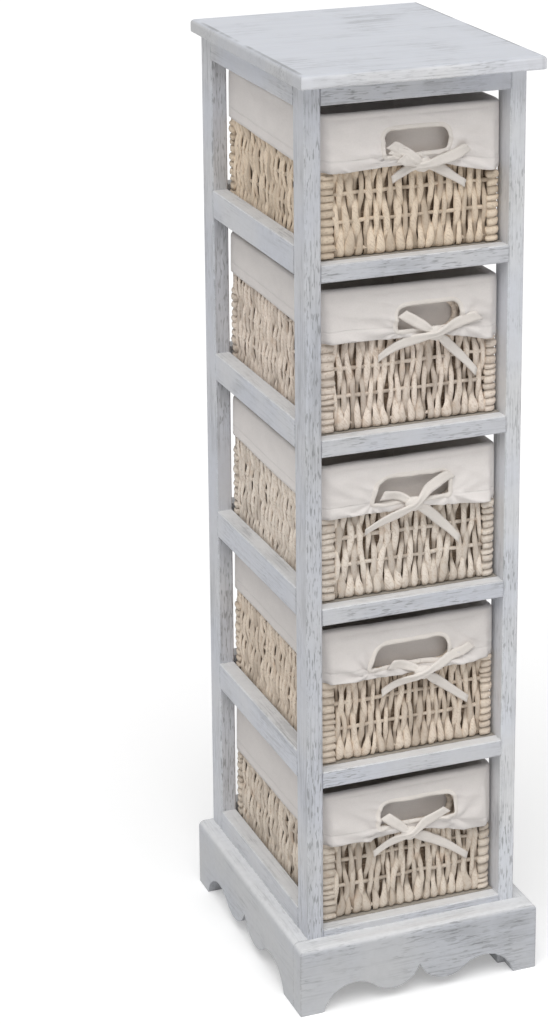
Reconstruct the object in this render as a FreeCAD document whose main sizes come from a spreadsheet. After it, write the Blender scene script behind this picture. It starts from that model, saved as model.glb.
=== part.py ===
import FreeCAD, Part
import math
import os
import re
import Sketcher

# Driving sizes in millimetres. The origin is on the floor, in the middle of the plinth's footprint.
SIZES = {
    # Posts and levels. Level 0 is under the top board, and the lowest shelf is just above the plinth.
    "frame_width": 220,
    "frame_depth": 275,
    "level_pitch": 168,
    "shelf_rise": 7,
    "post_width": 16,
    "post_depth": 28,
    "post_arris": 1.2,
    # Top board
    "top_thickness": 13,
    "top_side_overhang": 10.5,
    "top_front_overhang": 19,
    "top_edge_round": 4,
    # Rails. Front rails end at the shelf level, and side and rear rails rise above it.
    "rail_height": 17,
    "top_rail_height": 20,
    "rail_depth": 18,
    "rail_arris": 1,
    "side_rail_height": 28,
    "side_rail_rise": 14,
    "top_side_rail_height": 24,
    "rear_rail_rise": 16,
    # Tenons on the rails, and the play in their mortises
    "tenon_length": 10,
    "tenon_thickness": 7,
    "front_tenon_height": 8,
    "rear_tenon_height": 20,
    "tenon_apart": 3.5,
    "side_tenon_height": 14,
    "joint_clearance": 0.1,
    # Shelf panels lie in a rebate of the front rail and a groove of the rear rail
    "panel_thickness": 4,
    "panel_lip": 5,
    "panel_clearance": 0.5,
    # Plinth skirts
    "skirt_height": 70,
    "front_skirt_thickness": 20,
    "side_skirt_thickness": 16,
    "rear_skirt_thickness": 16,
    "rear_skirt_clear": 26,
    "skirt_round": 6,
    # Dowels of the top board and the skirts
    "dowel_diameter": 6,
    "dowel_length": 20,
    "dowel_clearance": 0.05,
    "top_dowel_bite": 8,
    "top_dowel_spread": 120,
    "front_dowel_drop": 24,
    "side_dowel_drop": 34,
    "side_dowel_inset": 8,
    # Woven basket, which fills its cell but for these clearances
    "basket_setback": 14,
    "basket_side_clear": 1.5,
    "basket_rear_clear": 3,
    "basket_top_clear": 17.2,
    "seat_gap": 0.3,
    "basket_wall": 6,
    "basket_base": 6,
    "base_bevel": 3,
    "rim_height": 9,
    "rim_bevel": 2.5,
    "corner_width": 12,
    "corner_round": 9,
    # Hand hole in the front wall
    "handle_width": 96,
    "handle_height": 30,
    "handle_drop": 14,
    # Cotton liner
    "liner_thickness": 1.2,
    "liner_gap": 0.3,
    "flap_drop": 50,
    "hem_rise": 2,
    "notch_drop": 16,
    "notch_strip": 10,
    # Cloth tie
    "tape_width": 11,
    "tape_thickness": 1.2,
    "tape_bulge": 3,
    "knot_width": 17,
    "knot_depth": 8,
    "knot_height": 13,
    "knot_bevel": 2.5,
}

LEVELS = 6
BASKETS = 5

# Edge of a skirt from its end to its middle: along its length, and up its height
FOOT_SHARES = (0.097, 0)
ARCH_SHARES = (0.225, 0.37)
TURN_SHARES = (0.31, 0.255)
LOBE_SHARES = (0.385, 0.15)
CUSP_SHARES = (0.5, 0.44)

# Left and right ends of each flap's notch, from the basket's middle along its width, top basket first
NOTCH_SHARES = ((-0.144, 0.202), (-0.072, 0.274), (-0.197, 0.216), (-0.216, 0.221), (-0.173, 0.264))

# Each tie's knot, two arms and two tails: along the basket's width, and down from its top in flap lengths
TIE_SHARES = (
    ((0.049, 1.0), (-0.125, 0.67), (0.303, 0.76), (-0.106, 1.27), (0.298, 1.48)),
    ((0.12, 0.88), (-0.058, 0.46), (0.37, 0.64), (-0.178, 1.3), (0.375, 1.8)),
    ((0.006, 0.84), (-0.168, 0.62), (0.226, 0.38), (-0.25, 1.35), (0.288, 1.77)),
    ((0.064, 0.96), (-0.12, 0.72), (0.351, 0.58), (-0.154, 1.35), (0.346, 1.79)),
    ((-0.004, 1.0), (-0.149, 0.56), (0.212, 0.62), (-0.197, 1.4), (0.356, 1.81)),
)

# A hem's height midway between a corner and the knot, as a share of its rise
HEM_MIDDLE_SHARE = 0.3

# How far the middle of a quarter round lies in from each side of its corner, as a share of its radius
ROUND_SHARE = 1 - math.sqrt(0.5)

# Relative slack when lengths are compared
SLACK_SHARE = 1e-6

doc = FreeCAD.newDocument("BasketShelfUnit")
sheet = doc.addObject("Spreadsheet::Sheet", "Sizes")
for row, (alias, value) in enumerate(SIZES.items(), start=1):
    sheet.set(f"A{row}", alias)
    sheet.set(f"B{row}", str(value))
    sheet.setAlias(f"B{row}", alias)
doc.recompute()


# Helpers for formulas, sketches and features


def in_sheet(formula):
    """The formula with each size's name pointing at its cell."""
    return re.sub(r"[a-z_]+", lambda word: f"Sizes.{word[0]}" if word[0] in SIZES else word[0], str(formula))


def bind(thing, name, formula):
    thing.setExpression(name, in_sheet(formula))


def worth(formula):
    """The formula's value in millimetres."""
    return float(sheet.evalExpression(in_sheet(formula)))


def new_body(label, x, y, z):
    """An empty body whose own origin lies at x, y, z in the part."""
    body = doc.addObject("PartDesign::Body", label)
    for axis, formula in zip("xyz", (x, y, z)):
        bind(body, f"Placement.Base.{axis}", formula)
    return body


def sketch_on(body, role, name, offset):
    """A sketch on one of the body's origin planes, moved along the plane's normal."""
    sketch = body.newObject("Sketcher::SketchObject", f"{body.Label}_{name}")
    plane = next(feature for feature in body.Origin.OriginFeatures if feature.Role == role)
    sketch.AttachmentSupport = (plane, "")
    sketch.MapMode = "FlatFace"
    bind(sketch, "AttachmentOffset.Base.z", offset)
    return sketch


def hold(sketch, geometry, end, spot):
    """Holds one point of the sketch at a pair of formulas."""
    for kind, formula in zip(("DistanceX", "DistanceY"), spot):
        index = sketch.addConstraint(Sketcher.Constraint(kind, -1, 1, geometry, end, worth(formula)))
        bind(sketch, f"Constraints[{index}]", formula)


def nearest_end(sketch, geometry, point):
    return min((1, 2), key=lambda end: (sketch.getPoint(geometry, end) - point).Length)


def outline(sketch, corners):
    """A closed outline through corners. A corner of two formulas ends a line, and one of four ends an arc
    through its last two."""
    points = [FreeCAD.Vector(worth(corner[0]), worth(corner[1]), 0) for corner in corners]
    edges = []
    for index, corner in enumerate(corners):
        start, finish = points[index - 1], points[index]
        if len(corner) == 2:
            edges.append(sketch.addGeometry(Part.LineSegment(start, finish)))
            continue
        middle = FreeCAD.Vector(worth(corner[2]), worth(corner[3]), 0)
        edges.append(sketch.addGeometry(Part.Arc(start, middle, finish)))
        mark = sketch.addGeometry(Part.Point(middle), True)
        sketch.addConstraint(Sketcher.Constraint("PointOnObject", mark, 1, edges[-1]))
        hold(sketch, mark, 1, corner[2:])
    for index, corner in enumerate(corners):
        here, after = edges[index], edges[(index + 1) % len(edges)]
        here_end = nearest_end(sketch, here, points[index])
        after_end = nearest_end(sketch, after, points[index])
        sketch.addConstraint(Sketcher.Constraint("Coincident", here, here_end, after, after_end))
        hold(sketch, here, here_end, corner[:2])


def rectangle(sketch, left, right, low, high):
    outline(sketch, [(left, low), (right, low), (right, high), (left, high)])


def rounded_rectangle(sketch, left, right, low, high, radius):
    """A rectangle with a quarter round at each corner."""
    inset = f"({radius}) * {ROUND_SHARE}"
    outline(sketch, [
        (f"{right} - ({radius})", low),
        (right, f"{low} + ({radius})", f"{right} - {inset}", f"{low} + {inset}"),
        (right, f"{high} - ({radius})"),
        (f"{right} - ({radius})", high, f"{right} - {inset}", f"{high} - {inset}"),
        (f"{left} + ({radius})", high),
        (left, f"{high} - ({radius})", f"{left} + {inset}", f"{high} - {inset}"),
        (left, f"{low} + ({radius})"),
        (f"{left} + ({radius})", low, f"{left} + {inset}", f"{low} + {inset}"),
    ])


def slot(sketch, left, right, low, high):
    """A slot with half-round ends."""
    half = f"(({high}) - ({low})) / 2"
    middle = f"(({high}) + ({low})) / 2"
    outline(sketch, [
        (f"{left} + {half}", low, left, middle),
        (f"{right} - {half}", low),
        (f"{right} - {half}", high, right, middle),
        (f"{left} + {half}", high),
    ])


def round_hole(sketch, x, y, diameter):
    centre = FreeCAD.Vector(worth(x), worth(y), 0)
    circle = sketch.addGeometry(Part.Circle(centre, FreeCAD.Vector(0, 0, 1), worth(diameter) / 2))
    index = sketch.addConstraint(Sketcher.Constraint("Diameter", circle, worth(diameter)))
    bind(sketch, f"Constraints[{index}]", diameter)
    hold(sketch, circle, 3, (x, y))


def pad(body, sketch, length, reverse=False):
    feature = body.newObject("PartDesign::Pad", f"{sketch.Name}_pad")
    feature.Profile = sketch
    feature.Reversed = reverse
    bind(feature, "Length", length)
    return feature


def pocket(body, sketch, depth, reverse=False):
    feature = body.newObject("PartDesign::Pocket", f"{sketch.Name}_pocket")
    feature.Profile = sketch
    feature.Reversed = reverse
    bind(feature, "Length", depth)
    return feature


def dress_edges(body, kind, size_name, size, chosen):
    """Dresses the edges of the body for which chosen(edge box, body box) is true."""
    doc.recompute()
    base = body.Tip
    whole = base.Shape.BoundBox
    names = [f"Edge{i}" for i, edge in enumerate(base.Shape.Edges, 1) if chosen(edge.BoundBox, whole)]
    feature = body.newObject(f"PartDesign::{kind}", f"{body.Label}_{kind.lower()}")
    feature.Base = (base, names)
    bind(feature, size_name, size)


def round_edges(body, radius, chosen):
    dress_edges(body, "Fillet", "Radius", radius, chosen)


def bevel_edges(body, size, chosen):
    dress_edges(body, "Chamfer", "Size", size, chosen)


def same(first, second):
    return abs(first - second) <= SLACK_SHARE * max(SIZES.values())


def outermost(edge, whole):
    """Whether the edge lies on one of the body's four upright outer sides."""
    return (
        (same(edge.XLength, 0) and (same(edge.XMin, whole.XMin) or same(edge.XMax, whole.XMax)))
        or (same(edge.YLength, 0) and (same(edge.YMin, whole.YMin) or same(edge.YMax, whole.YMax)))
    )


# Places and sizes that several pieces share

LOW_SHELF = "(skirt_height + shelf_rise)"
FRAME_TOP = f"({LOW_SHELF} + {LEVELS - 1} * level_pitch)"
SIDE_TENON = "(post_depth - (rail_depth + tenon_thickness) / 2 - tenon_apart)"
FRONT_DOWEL = "(skirt_height - front_dowel_drop)"
SIDE_DOWEL = "(skirt_height - side_dowel_drop)"
REAR_SKIRT_TOP = f"({LOW_SHELF} - rail_height)"
REAR_DOWEL = f"((rear_skirt_clear + {REAR_SKIRT_TOP}) / 2)"
FRONT = "(front_skirt_thickness - frame_depth) / 2"
REAR = "(front_skirt_thickness + frame_depth) / 2"
FRAME_MIDDLE = "front_skirt_thickness / 2"
RAIL_SPAN = "(frame_width - 2 * post_width)"
SIDE_SPAN = "(frame_depth - 2 * post_depth)"
DOWEL_HOLE = "(dowel_diameter + 2 * dowel_clearance)"
DOWEL_DEPTH = "(dowel_length / 2 + dowel_clearance)"
SIDES = {"left": 1, "right": -1}
ENDS = {"front": 1, "rear": -1}


def level(index):
    return f"({LOW_SHELF} + {LEVELS - 1 - index} * level_pitch)"


def rail_reach(kind, index):
    """How far a rail reaches below and above its level."""
    if kind != "side" and index == 0:
        return "top_rail_height", "0"
    if kind == "front":
        return "rail_height", "0"
    if kind == "rear":
        return "rail_height", "rear_rail_rise"
    if index == 0:
        return "top_side_rail_height", "0"
    return "(side_rail_height - side_rail_rise)", "side_rail_rise"


def tenon_height(kind, index):
    if kind == "side":
        return "side_tenon_height"
    if kind == "rear" and index > 0:
        return "rear_tenon_height"
    return "front_tenon_height"


def tenon_limits(kind, index, play):
    """The low and high edges of a rail's tenon, counted from its level."""
    below, above = rail_reach(kind, index)
    middle = f"({above} - {below}) / 2"
    half = f"({tenon_height(kind, index)} / 2 + {play})"
    return f"{middle} - {half}", f"{middle} + {half}"


# Frame: top board, posts, rails, shelf panels, plinth skirts and dowels


def make_top_board():
    body = new_body("top_board", 0, 0, FRAME_TOP)
    sketch = sketch_on(body, "XY_Plane", "plan", 0)
    half = "(frame_width / 2 + top_side_overhang)"
    rectangle(sketch, f"-{half}", half, f"{FRONT} - top_front_overhang", REAR)
    pad(body, sketch, "top_thickness")
    round_edges(body, "top_edge_round", lambda edge, whole: same(edge.ZMin, whole.ZMax))
    bevel_edges(
        body,
        "rail_arris",
        lambda edge, whole: same(edge.ZMax, whole.ZMin) and not same(edge.YMin, whole.YMax),
    )
    holes = sketch_on(body, "XY_Plane", "dowel_holes", 0)
    for side in SIDES.values():
        for end in ENDS.values():
            x = f"{side} * (post_width - frame_width) / 2"
            round_hole(holes, x, f"{FRAME_MIDDLE} - {end} * top_dowel_spread / 2", DOWEL_HOLE)
    pocket(body, holes, "top_dowel_bite + dowel_clearance", reverse=True)
    return body


def make_post(side_name, end_name):
    """A post with its outer corner at its own origin. Inward is along side in x and along end in y."""
    side, end = SIDES[side_name], ENDS[end_name]
    corner_y = FRONT if end_name == "front" else REAR
    body = new_body(f"post_{end_name}_{side_name}", f"-{side} * frame_width / 2", corner_y, 0)
    section = sketch_on(body, "XY_Plane", "section", 0)
    rectangle(section, 0, f"{side} * post_width", 0, f"{end} * post_depth")
    pad(body, section, FRAME_TOP)
    bevel_edges(body, "post_arris", lambda edge, whole: same(edge.ZLength, whole.ZLength))

    cross_mortises = sketch_on(body, "YZ_Plane", "cross_mortises", f"{side} * post_width")
    side_mortises = sketch_on(body, "XZ_Plane", "side_mortises", f"-{end} * post_depth")
    half = "(tenon_thickness / 2 + joint_clearance)"
    for index in range(LEVELS):
        low, high = tenon_limits(end_name, index, "joint_clearance")
        middle = f"{end} * rail_depth / 2"
        rectangle(
            cross_mortises,
            f"{middle} - {half}",
            f"{middle} + {half}",
            f"{level(index)} + {low}",
            f"{level(index)} + {high}",
        )
        low, high = tenon_limits("side", index, "joint_clearance")
        middle = f"{side} * post_width / 2"
        rectangle(
            side_mortises,
            f"{middle} - {half}",
            f"{middle} + {half}",
            f"{level(index)} + {low}",
            f"{level(index)} + {high}",
        )
    pocket(body, cross_mortises, "tenon_length + joint_clearance", reverse=side < 0)
    pocket(body, side_mortises, f"{SIDE_TENON} + joint_clearance", reverse=end > 0)

    outer_hole = sketch_on(body, "YZ_Plane", "side_skirt_hole", 0)
    round_hole(outer_hole, f"{end} * (post_depth - side_dowel_inset)", SIDE_DOWEL, DOWEL_HOLE)
    pocket(body, outer_hole, DOWEL_DEPTH, reverse=side > 0)
    if end_name == "front":
        front_hole = sketch_on(body, "XZ_Plane", "front_skirt_hole", 0)
        round_hole(front_hole, f"{side} * post_width / 2", FRONT_DOWEL, DOWEL_HOLE)
        pocket(body, front_hole, DOWEL_DEPTH)
    else:
        inner_hole = sketch_on(body, "YZ_Plane", "rear_skirt_hole", f"{side} * post_width")
        round_hole(inner_hole, "-rear_skirt_thickness / 2", REAR_DOWEL, DOWEL_HOLE)
        pocket(body, inner_hole, DOWEL_DEPTH, reverse=side < 0)
    return body


def make_cross_rail(end_name, index):
    """A front or rear rail. Its own origin is on its outer face, at its level."""
    end = ENDS[end_name]
    face_y = FRONT if end_name == "front" else REAR
    body = new_body(f"{end_name}_rail_{index}", 0, face_y, level(index))
    below, above = rail_reach(end_name, index)
    inner, seat = f"{end} * rail_depth", f"{end} * (rail_depth - panel_lip)"
    section = sketch_on(body, "YZ_Plane", "section", f"-{RAIL_SPAN} / 2")
    corners = [(0, f"-{below}"), (inner, f"-{below}")]
    if index > 0:
        corners += [(inner, "-panel_thickness"), (seat, "-panel_thickness"), (seat, 0)]
    if index > 0 and end_name == "rear":
        corners += [(inner, 0)]
    if index == 0 or end_name == "rear":
        corners += [(inner, above)]
    corners += [(0, above)]
    outline(section, corners)
    pad(body, section, RAIL_SPAN)
    bevel_edges(
        body,
        "rail_arris",
        lambda edge, whole: same(edge.XLength, whole.XLength) and same(edge.YMin, 0) and same(edge.YMax, 0),
    )
    tenons = sketch_on(body, "YZ_Plane", "tenons", f"-{RAIL_SPAN} / 2 - tenon_length")
    low, high = tenon_limits(end_name, index, 0)
    middle = f"{end} * rail_depth / 2"
    rectangle(tenons, f"{middle} - tenon_thickness / 2", f"{middle} + tenon_thickness / 2", low, high)
    pad(body, tenons, f"{RAIL_SPAN} + 2 * tenon_length")
    return body


def make_side_rail(side_name, index):
    """A side rail. Its own origin is on its outer face, halfway along, at its level."""
    side = SIDES[side_name]
    body = new_body(f"{side_name}_rail_{index}", f"-{side} * frame_width / 2", FRAME_MIDDLE, level(index))
    below, above = rail_reach("side", index)
    section = sketch_on(body, "XZ_Plane", "section", f"-{SIDE_SPAN} / 2")
    rectangle(section, 0, f"{side} * post_width", f"-{below}", above)
    pad(body, section, SIDE_SPAN)
    bevel_edges(body, "rail_arris", lambda edge, whole: same(edge.YLength, whole.YLength))
    tenons = sketch_on(body, "XZ_Plane", "tenons", f"-{SIDE_SPAN} / 2 - {SIDE_TENON}")
    low, high = tenon_limits("side", index, 0)
    middle = f"{side} * post_width / 2"
    rectangle(tenons, f"{middle} - tenon_thickness / 2", f"{middle} + tenon_thickness / 2", low, high)
    pad(body, tenons, f"{SIDE_SPAN} + 2 * {SIDE_TENON}")
    if index == 0:
        holes = sketch_on(body, "XY_Plane", "dowel_holes", 0)
        for end in ENDS.values():
            round_hole(holes, middle, f"-{end} * top_dowel_spread / 2", DOWEL_HOLE)
        pocket(body, holes, "dowel_length - top_dowel_bite + dowel_clearance")
    return body


def make_shelf_panel(index):
    """A thin panel whose top is flush with the front rail's."""
    body = new_body(f"shelf_panel_{index}", 0, FRAME_MIDDLE, f"{level(index)} - panel_thickness")
    plan = sketch_on(body, "XY_Plane", "plan", 0)
    half_x = f"({RAIL_SPAN} / 2 - panel_clearance)"
    half_y = "(frame_depth / 2 - rail_depth + panel_lip - panel_clearance)"
    rectangle(plan, f"-{half_x}", half_x, f"-{half_y}", half_y)
    pad(body, plan, "panel_thickness")
    return body


def scallop(sketch, length):
    """A skirt's face: feet at both ends, and between them two arches and two lobes that meet in a cusp."""

    def spot(shares, side):
        return f"{side} * ({length}) * (0.5 - {shares[0]})", f"skirt_height * {shares[1]}"

    outline(sketch, [
        (f"-({length}) / 2", "skirt_height"),
        (f"-({length}) / 2", 0),
        spot(FOOT_SHARES, -1),
        spot(TURN_SHARES, -1) + spot(ARCH_SHARES, -1),
        spot(CUSP_SHARES, 1) + spot(LOBE_SHARES, -1),
        spot(TURN_SHARES, 1) + spot(LOBE_SHARES, 1),
        spot(FOOT_SHARES, 1) + spot(ARCH_SHARES, 1),
        (f"({length}) / 2", 0),
        (f"({length}) / 2", "skirt_height"),
    ])


def make_front_skirt():
    """The front skirt covers the ends of the side skirts."""
    body = new_body("front_skirt", 0, FRONT, 0)
    face = sketch_on(body, "XZ_Plane", "face", 0)
    scallop(face, "frame_width + 2 * side_skirt_thickness")
    pad(body, face, "front_skirt_thickness")
    round_edges(
        body,
        "skirt_round",
        lambda edge, whole: same(edge.ZMin, whole.ZMax) and not same(edge.YMin, whole.YMax),
    )
    holes = sketch_on(body, "XZ_Plane", "dowel_holes", 0)
    for side in SIDES.values():
        round_hole(holes, f"{side} * (post_width - frame_width) / 2", FRONT_DOWEL, DOWEL_HOLE)
    pocket(body, holes, DOWEL_DEPTH, reverse=True)
    return body


def make_side_skirt(side_name):
    side = SIDES[side_name]
    body = new_body(f"{side_name}_skirt", f"-{side} * frame_width / 2", FRAME_MIDDLE, 0)
    face = sketch_on(body, "YZ_Plane", "face", 0)
    scallop(face, "frame_depth")
    pad(body, face, "side_skirt_thickness", reverse=side > 0)
    outer = (lambda box: box.XMin) if side > 0 else (lambda box: box.XMax)
    round_edges(
        body,
        "skirt_round",
        lambda edge, whole: same(edge.ZMin, whole.ZMax)
        and same(edge.XLength, 0)
        and same(outer(edge), outer(whole)),
    )
    holes = sketch_on(body, "YZ_Plane", "dowel_holes", 0)
    for end in ENDS.values():
        y = f"{end} * (post_depth - side_dowel_inset - frame_depth / 2)"
        round_hole(holes, y, SIDE_DOWEL, DOWEL_HOLE)
    pocket(body, holes, DOWEL_DEPTH, reverse=side < 0)
    return body


def make_rear_skirt():
    """A plain board between the rear posts, which reach the floor themselves."""
    body = new_body("rear_skirt", 0, REAR, 0)
    face = sketch_on(body, "YZ_Plane", "section", f"-{RAIL_SPAN} / 2")
    rectangle(face, "-rear_skirt_thickness", 0, "rear_skirt_clear", REAR_SKIRT_TOP)
    pad(body, face, RAIL_SPAN)
    for name, side in SIDES.items():
        holes = sketch_on(body, "YZ_Plane", f"{name}_dowel_hole", f"-{side} * {RAIL_SPAN} / 2")
        round_hole(holes, "-rear_skirt_thickness / 2", REAR_DOWEL, DOWEL_HOLE)
        pocket(body, holes, DOWEL_DEPTH, reverse=side > 0)
    return body


def make_dowel(name, direction, x, y, z):
    """One dowel that starts at x, y, z and runs along direction."""
    dowel = doc.addObject("Part::Cylinder", name)
    bind(dowel, "Radius", "dowel_diameter / 2")
    bind(dowel, "Height", "dowel_length")
    turn = FreeCAD.Rotation(FreeCAD.Vector(0, 0, 1), FreeCAD.Vector(*direction))
    dowel.Placement = FreeCAD.Placement(FreeCAD.Vector(), turn)
    for axis, formula in zip("xyz", (x, y, z)):
        bind(dowel, f"Placement.Base.{axis}", formula)
    return dowel


def make_dowels():
    """Dowels of the top board, then of the front, side and rear skirts, as one group."""
    dowels = []
    for side_name, side in SIDES.items():
        post_x = f"{side} * (post_width - frame_width) / 2"
        face_x = f"-{side} * frame_width / 2"
        for end_name, end in ENDS.items():
            top_y = f"{FRAME_MIDDLE} - {end} * top_dowel_spread / 2"
            top_z = f"{FRAME_TOP} - dowel_length + top_dowel_bite"
            dowels.append(make_dowel(f"top_dowel_{side_name}_{end_name}", (0, 0, 1), post_x, top_y, top_z))
            side_y = f"{FRAME_MIDDLE} + {end} * (post_depth - side_dowel_inset - frame_depth / 2)"
            side_x = f"{face_x} - {side} * dowel_length / 2"
            name = f"side_dowel_{side_name}_{end_name}"
            dowels.append(make_dowel(name, (side, 0, 0), side_x, side_y, SIDE_DOWEL))
        front_y = f"{FRONT} - dowel_length / 2"
        dowels.append(make_dowel(f"front_dowel_{side_name}", (0, 1, 0), post_x, front_y, FRONT_DOWEL))
        rear_x = f"-{side} * ({RAIL_SPAN} / 2 + dowel_length / 2)"
        rear_y = f"{REAR} - rear_skirt_thickness / 2"
        dowels.append(make_dowel(f"rear_dowel_{side_name}", (side, 0, 0), rear_x, rear_y, REAR_DOWEL))
    group = doc.addObject("Part::Compound", "dowels")
    group.Links = dowels
    return group


# Baskets: each one's own origin is under the middle of its base

LINER_REACH = "(liner_gap + liner_thickness)"
BASKET_WIDTH = f"({RAIL_SPAN} - 2 * (basket_side_clear + {LINER_REACH}))"
BASKET_DEPTH = f"(frame_depth - basket_setback - rail_depth - basket_rear_clear - 2 * {LINER_REACH})"
LINER_TOP = "(level_pitch - rail_height - basket_top_clear - seat_gap)"
BASKET_HEIGHT = f"({LINER_TOP} - {LINER_REACH})"
BASKET_Y = f"({FRONT} + basket_setback + {LINER_REACH} + {BASKET_DEPTH} / 2)"
HALF_X = f"({BASKET_WIDTH} / 2)"
HALF_Y = f"({BASKET_DEPTH} / 2)"
WALL_HEIGHT = f"({BASKET_HEIGHT} - rim_height)"
FLAP_BOTTOM = f"({LINER_TOP} - flap_drop)"
FLAP_FACE = f"({HALF_Y} + {LINER_REACH})"


def basket_body(name, number):
    return new_body(f"basket_{number}_{name}", 0, BASKET_Y, f"{level(number)} + seat_gap")


def make_basket_frame(number):
    """The husk-wrapped rim and the four corner columns under it."""
    body = basket_body("frame", number)
    rim = sketch_on(body, "XY_Plane", "rim", WALL_HEIGHT)
    rounded_rectangle(rim, f"-{HALF_X}", HALF_X, f"-{HALF_Y}", HALF_Y, "corner_round")
    inner_x, inner_y = f"({HALF_X} - basket_wall)", f"({HALF_Y} - basket_wall)"
    rectangle(rim, f"-{inner_x}", inner_x, f"-{inner_y}", inner_y)
    pad(body, rim, "rim_height")
    bevel_edges(
        body,
        "rim_bevel",
        lambda edge, whole: same(edge.ZMin, whole.ZMax)
        and (outermost(edge, whole) or not (same(edge.XLength, 0) or same(edge.YLength, 0))),
    )
    columns = sketch_on(body, "XY_Plane", "columns", 0)
    inset = f"corner_round * {ROUND_SHARE}"
    for side in SIDES.values():
        for end in ENDS.values():
            outline(columns, [
                (f"{side} * ({HALF_X} - corner_width)", f"{end} * {inner_y}"),
                (f"{side} * ({HALF_X} - corner_width)", f"{end} * {HALF_Y}"),
                (f"{side} * ({HALF_X} - corner_round)", f"{end} * {HALF_Y}"),
                (
                    f"{side} * {HALF_X}",
                    f"{end} * ({HALF_Y} - corner_round)",
                    f"{side} * ({HALF_X} - {inset})",
                    f"{end} * ({HALF_Y} - {inset})",
                ),
                (f"{side} * {HALF_X}", f"{end} * ({HALF_Y} - corner_width)"),
                (f"{side} * {inner_x}", f"{end} * ({HALF_Y} - corner_width)"),
                (f"{side} * {inner_x}", f"{end} * {inner_y}"),
            ])
    pad(body, columns, WALL_HEIGHT)
    return body


def make_basket_weave(number):
    """Four woven walls on a woven base, cut out at the corners for the columns, with the hand hole."""
    body = basket_body("weave", number)
    plan = sketch_on(body, "XY_Plane", "plan", 0)
    inner_x, inner_y = f"({HALF_X} - basket_wall)", f"({HALF_Y} - basket_wall)"
    corners = []
    for side, end in ((1, 1), (-1, 1), (-1, -1), (1, -1)):
        steps = [
            (f"{side} * {HALF_X}", f"{end} * ({HALF_Y} - corner_width)"),
            (f"{side} * {inner_x}", f"{end} * ({HALF_Y} - corner_width)"),
            (f"{side} * {inner_x}", f"{end} * {inner_y}"),
            (f"{side} * ({HALF_X} - corner_width)", f"{end} * {inner_y}"),
            (f"{side} * ({HALF_X} - corner_width)", f"{end} * {HALF_Y}"),
        ]
        corners += steps if side == end else steps[::-1]
    outline(plan, corners)
    pad(body, plan, WALL_HEIGHT)
    hollow = sketch_on(body, "XY_Plane", "hollow", WALL_HEIGHT)
    rectangle(hollow, f"-{inner_x}", inner_x, f"-{inner_y}", inner_y)
    pocket(body, hollow, f"{WALL_HEIGHT} - basket_base")
    bevel_edges(
        body,
        "base_bevel",
        lambda edge, whole: same(edge.ZMax, whole.ZMin) and outermost(edge, whole),
    )
    hole = sketch_on(body, "XZ_Plane", "hand_hole", HALF_Y)
    high = f"({BASKET_HEIGHT} - handle_drop)"
    slot(hole, "-handle_width / 2", "handle_width / 2", f"{high} - handle_height", high)
    pocket(body, hole, "basket_wall")
    return body


def make_basket_liner(number):
    """A cotton sleeve with a base, turned over the rim and down the outside as a flap."""
    body = basket_body("liner", number)
    outer = sketch_on(body, "XY_Plane", "flap_outside", FLAP_BOTTOM)
    reach_x, reach_y = f"({HALF_X} + {LINER_REACH})", FLAP_FACE
    radius = f"corner_round + {LINER_REACH}"
    rounded_rectangle(outer, f"-{reach_x}", reach_x, f"-{reach_y}", reach_y, radius)
    pad(body, outer, "flap_drop")
    under = sketch_on(body, "XY_Plane", "flap_inside", FLAP_BOTTOM)
    under_x, under_y = f"({HALF_X} + liner_gap)", f"({HALF_Y} + liner_gap)"
    rounded_rectangle(under, f"-{under_x}", under_x, f"-{under_y}", under_y, "corner_round + liner_gap")
    pocket(body, under, "flap_drop - liner_thickness", reverse=True)
    sleeve = sketch_on(body, "XY_Plane", "sleeve_outside", "basket_base + liner_gap")
    sleeve_x, sleeve_y = f"({HALF_X} - basket_wall - liner_gap)", f"({HALF_Y} - basket_wall - liner_gap)"
    rectangle(sleeve, f"-{sleeve_x}", sleeve_x, f"-{sleeve_y}", sleeve_y)
    pad(body, sleeve, f"{BASKET_HEIGHT} - basket_base")
    inside = sketch_on(body, "XY_Plane", "sleeve_inside", LINER_TOP)
    inside_x, inside_y = f"({sleeve_x} - liner_thickness)", f"({sleeve_y} - liner_thickness)"
    rectangle(inside, f"-{inside_x}", inside_x, f"-{inside_y}", inside_y)
    pocket(body, inside, f"{BASKET_HEIGHT} - basket_base")

    knot_x = f"{BASKET_WIDTH} * {TIE_SHARES[number - 1][0][0]}"
    notch = sketch_on(body, "XZ_Plane", "flap_notch", FLAP_FACE)
    left, right = (f"{BASKET_WIDTH} * {share}" for share in NOTCH_SHARES[number - 1])
    slot(notch, left, right, f"({FLAP_BOTTOM} + notch_strip)", f"({LINER_TOP} - notch_drop)")
    pocket(body, notch, LINER_REACH)
    hem = sketch_on(body, "XZ_Plane", "hem", FLAP_FACE)
    end_x = f"({HALF_X} - corner_round)"
    middle_z = f"{FLAP_BOTTOM} + hem_rise * {HEM_MIDDLE_SHARE}"
    outline(hem, [
        (f"-{end_x}", f"{FLAP_BOTTOM} - hem_rise"),
        (end_x, f"{FLAP_BOTTOM} - hem_rise"),
        (end_x, FLAP_BOTTOM),
        (knot_x, f"{FLAP_BOTTOM} + hem_rise", f"({end_x} + {knot_x}) / 2", middle_z),
        (f"-{end_x}", FLAP_BOTTOM, f"({knot_x} - {end_x}) / 2", middle_z),
    ])
    pocket(body, hem, LINER_REACH)
    return body


def tape_section(centre, across, thick):
    corners = [
        centre + across - thick,
        centre + across + thick,
        centre - across + thick,
        centre - across - thick,
    ]
    return Part.makePolygon(corners + corners[:1])


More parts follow.
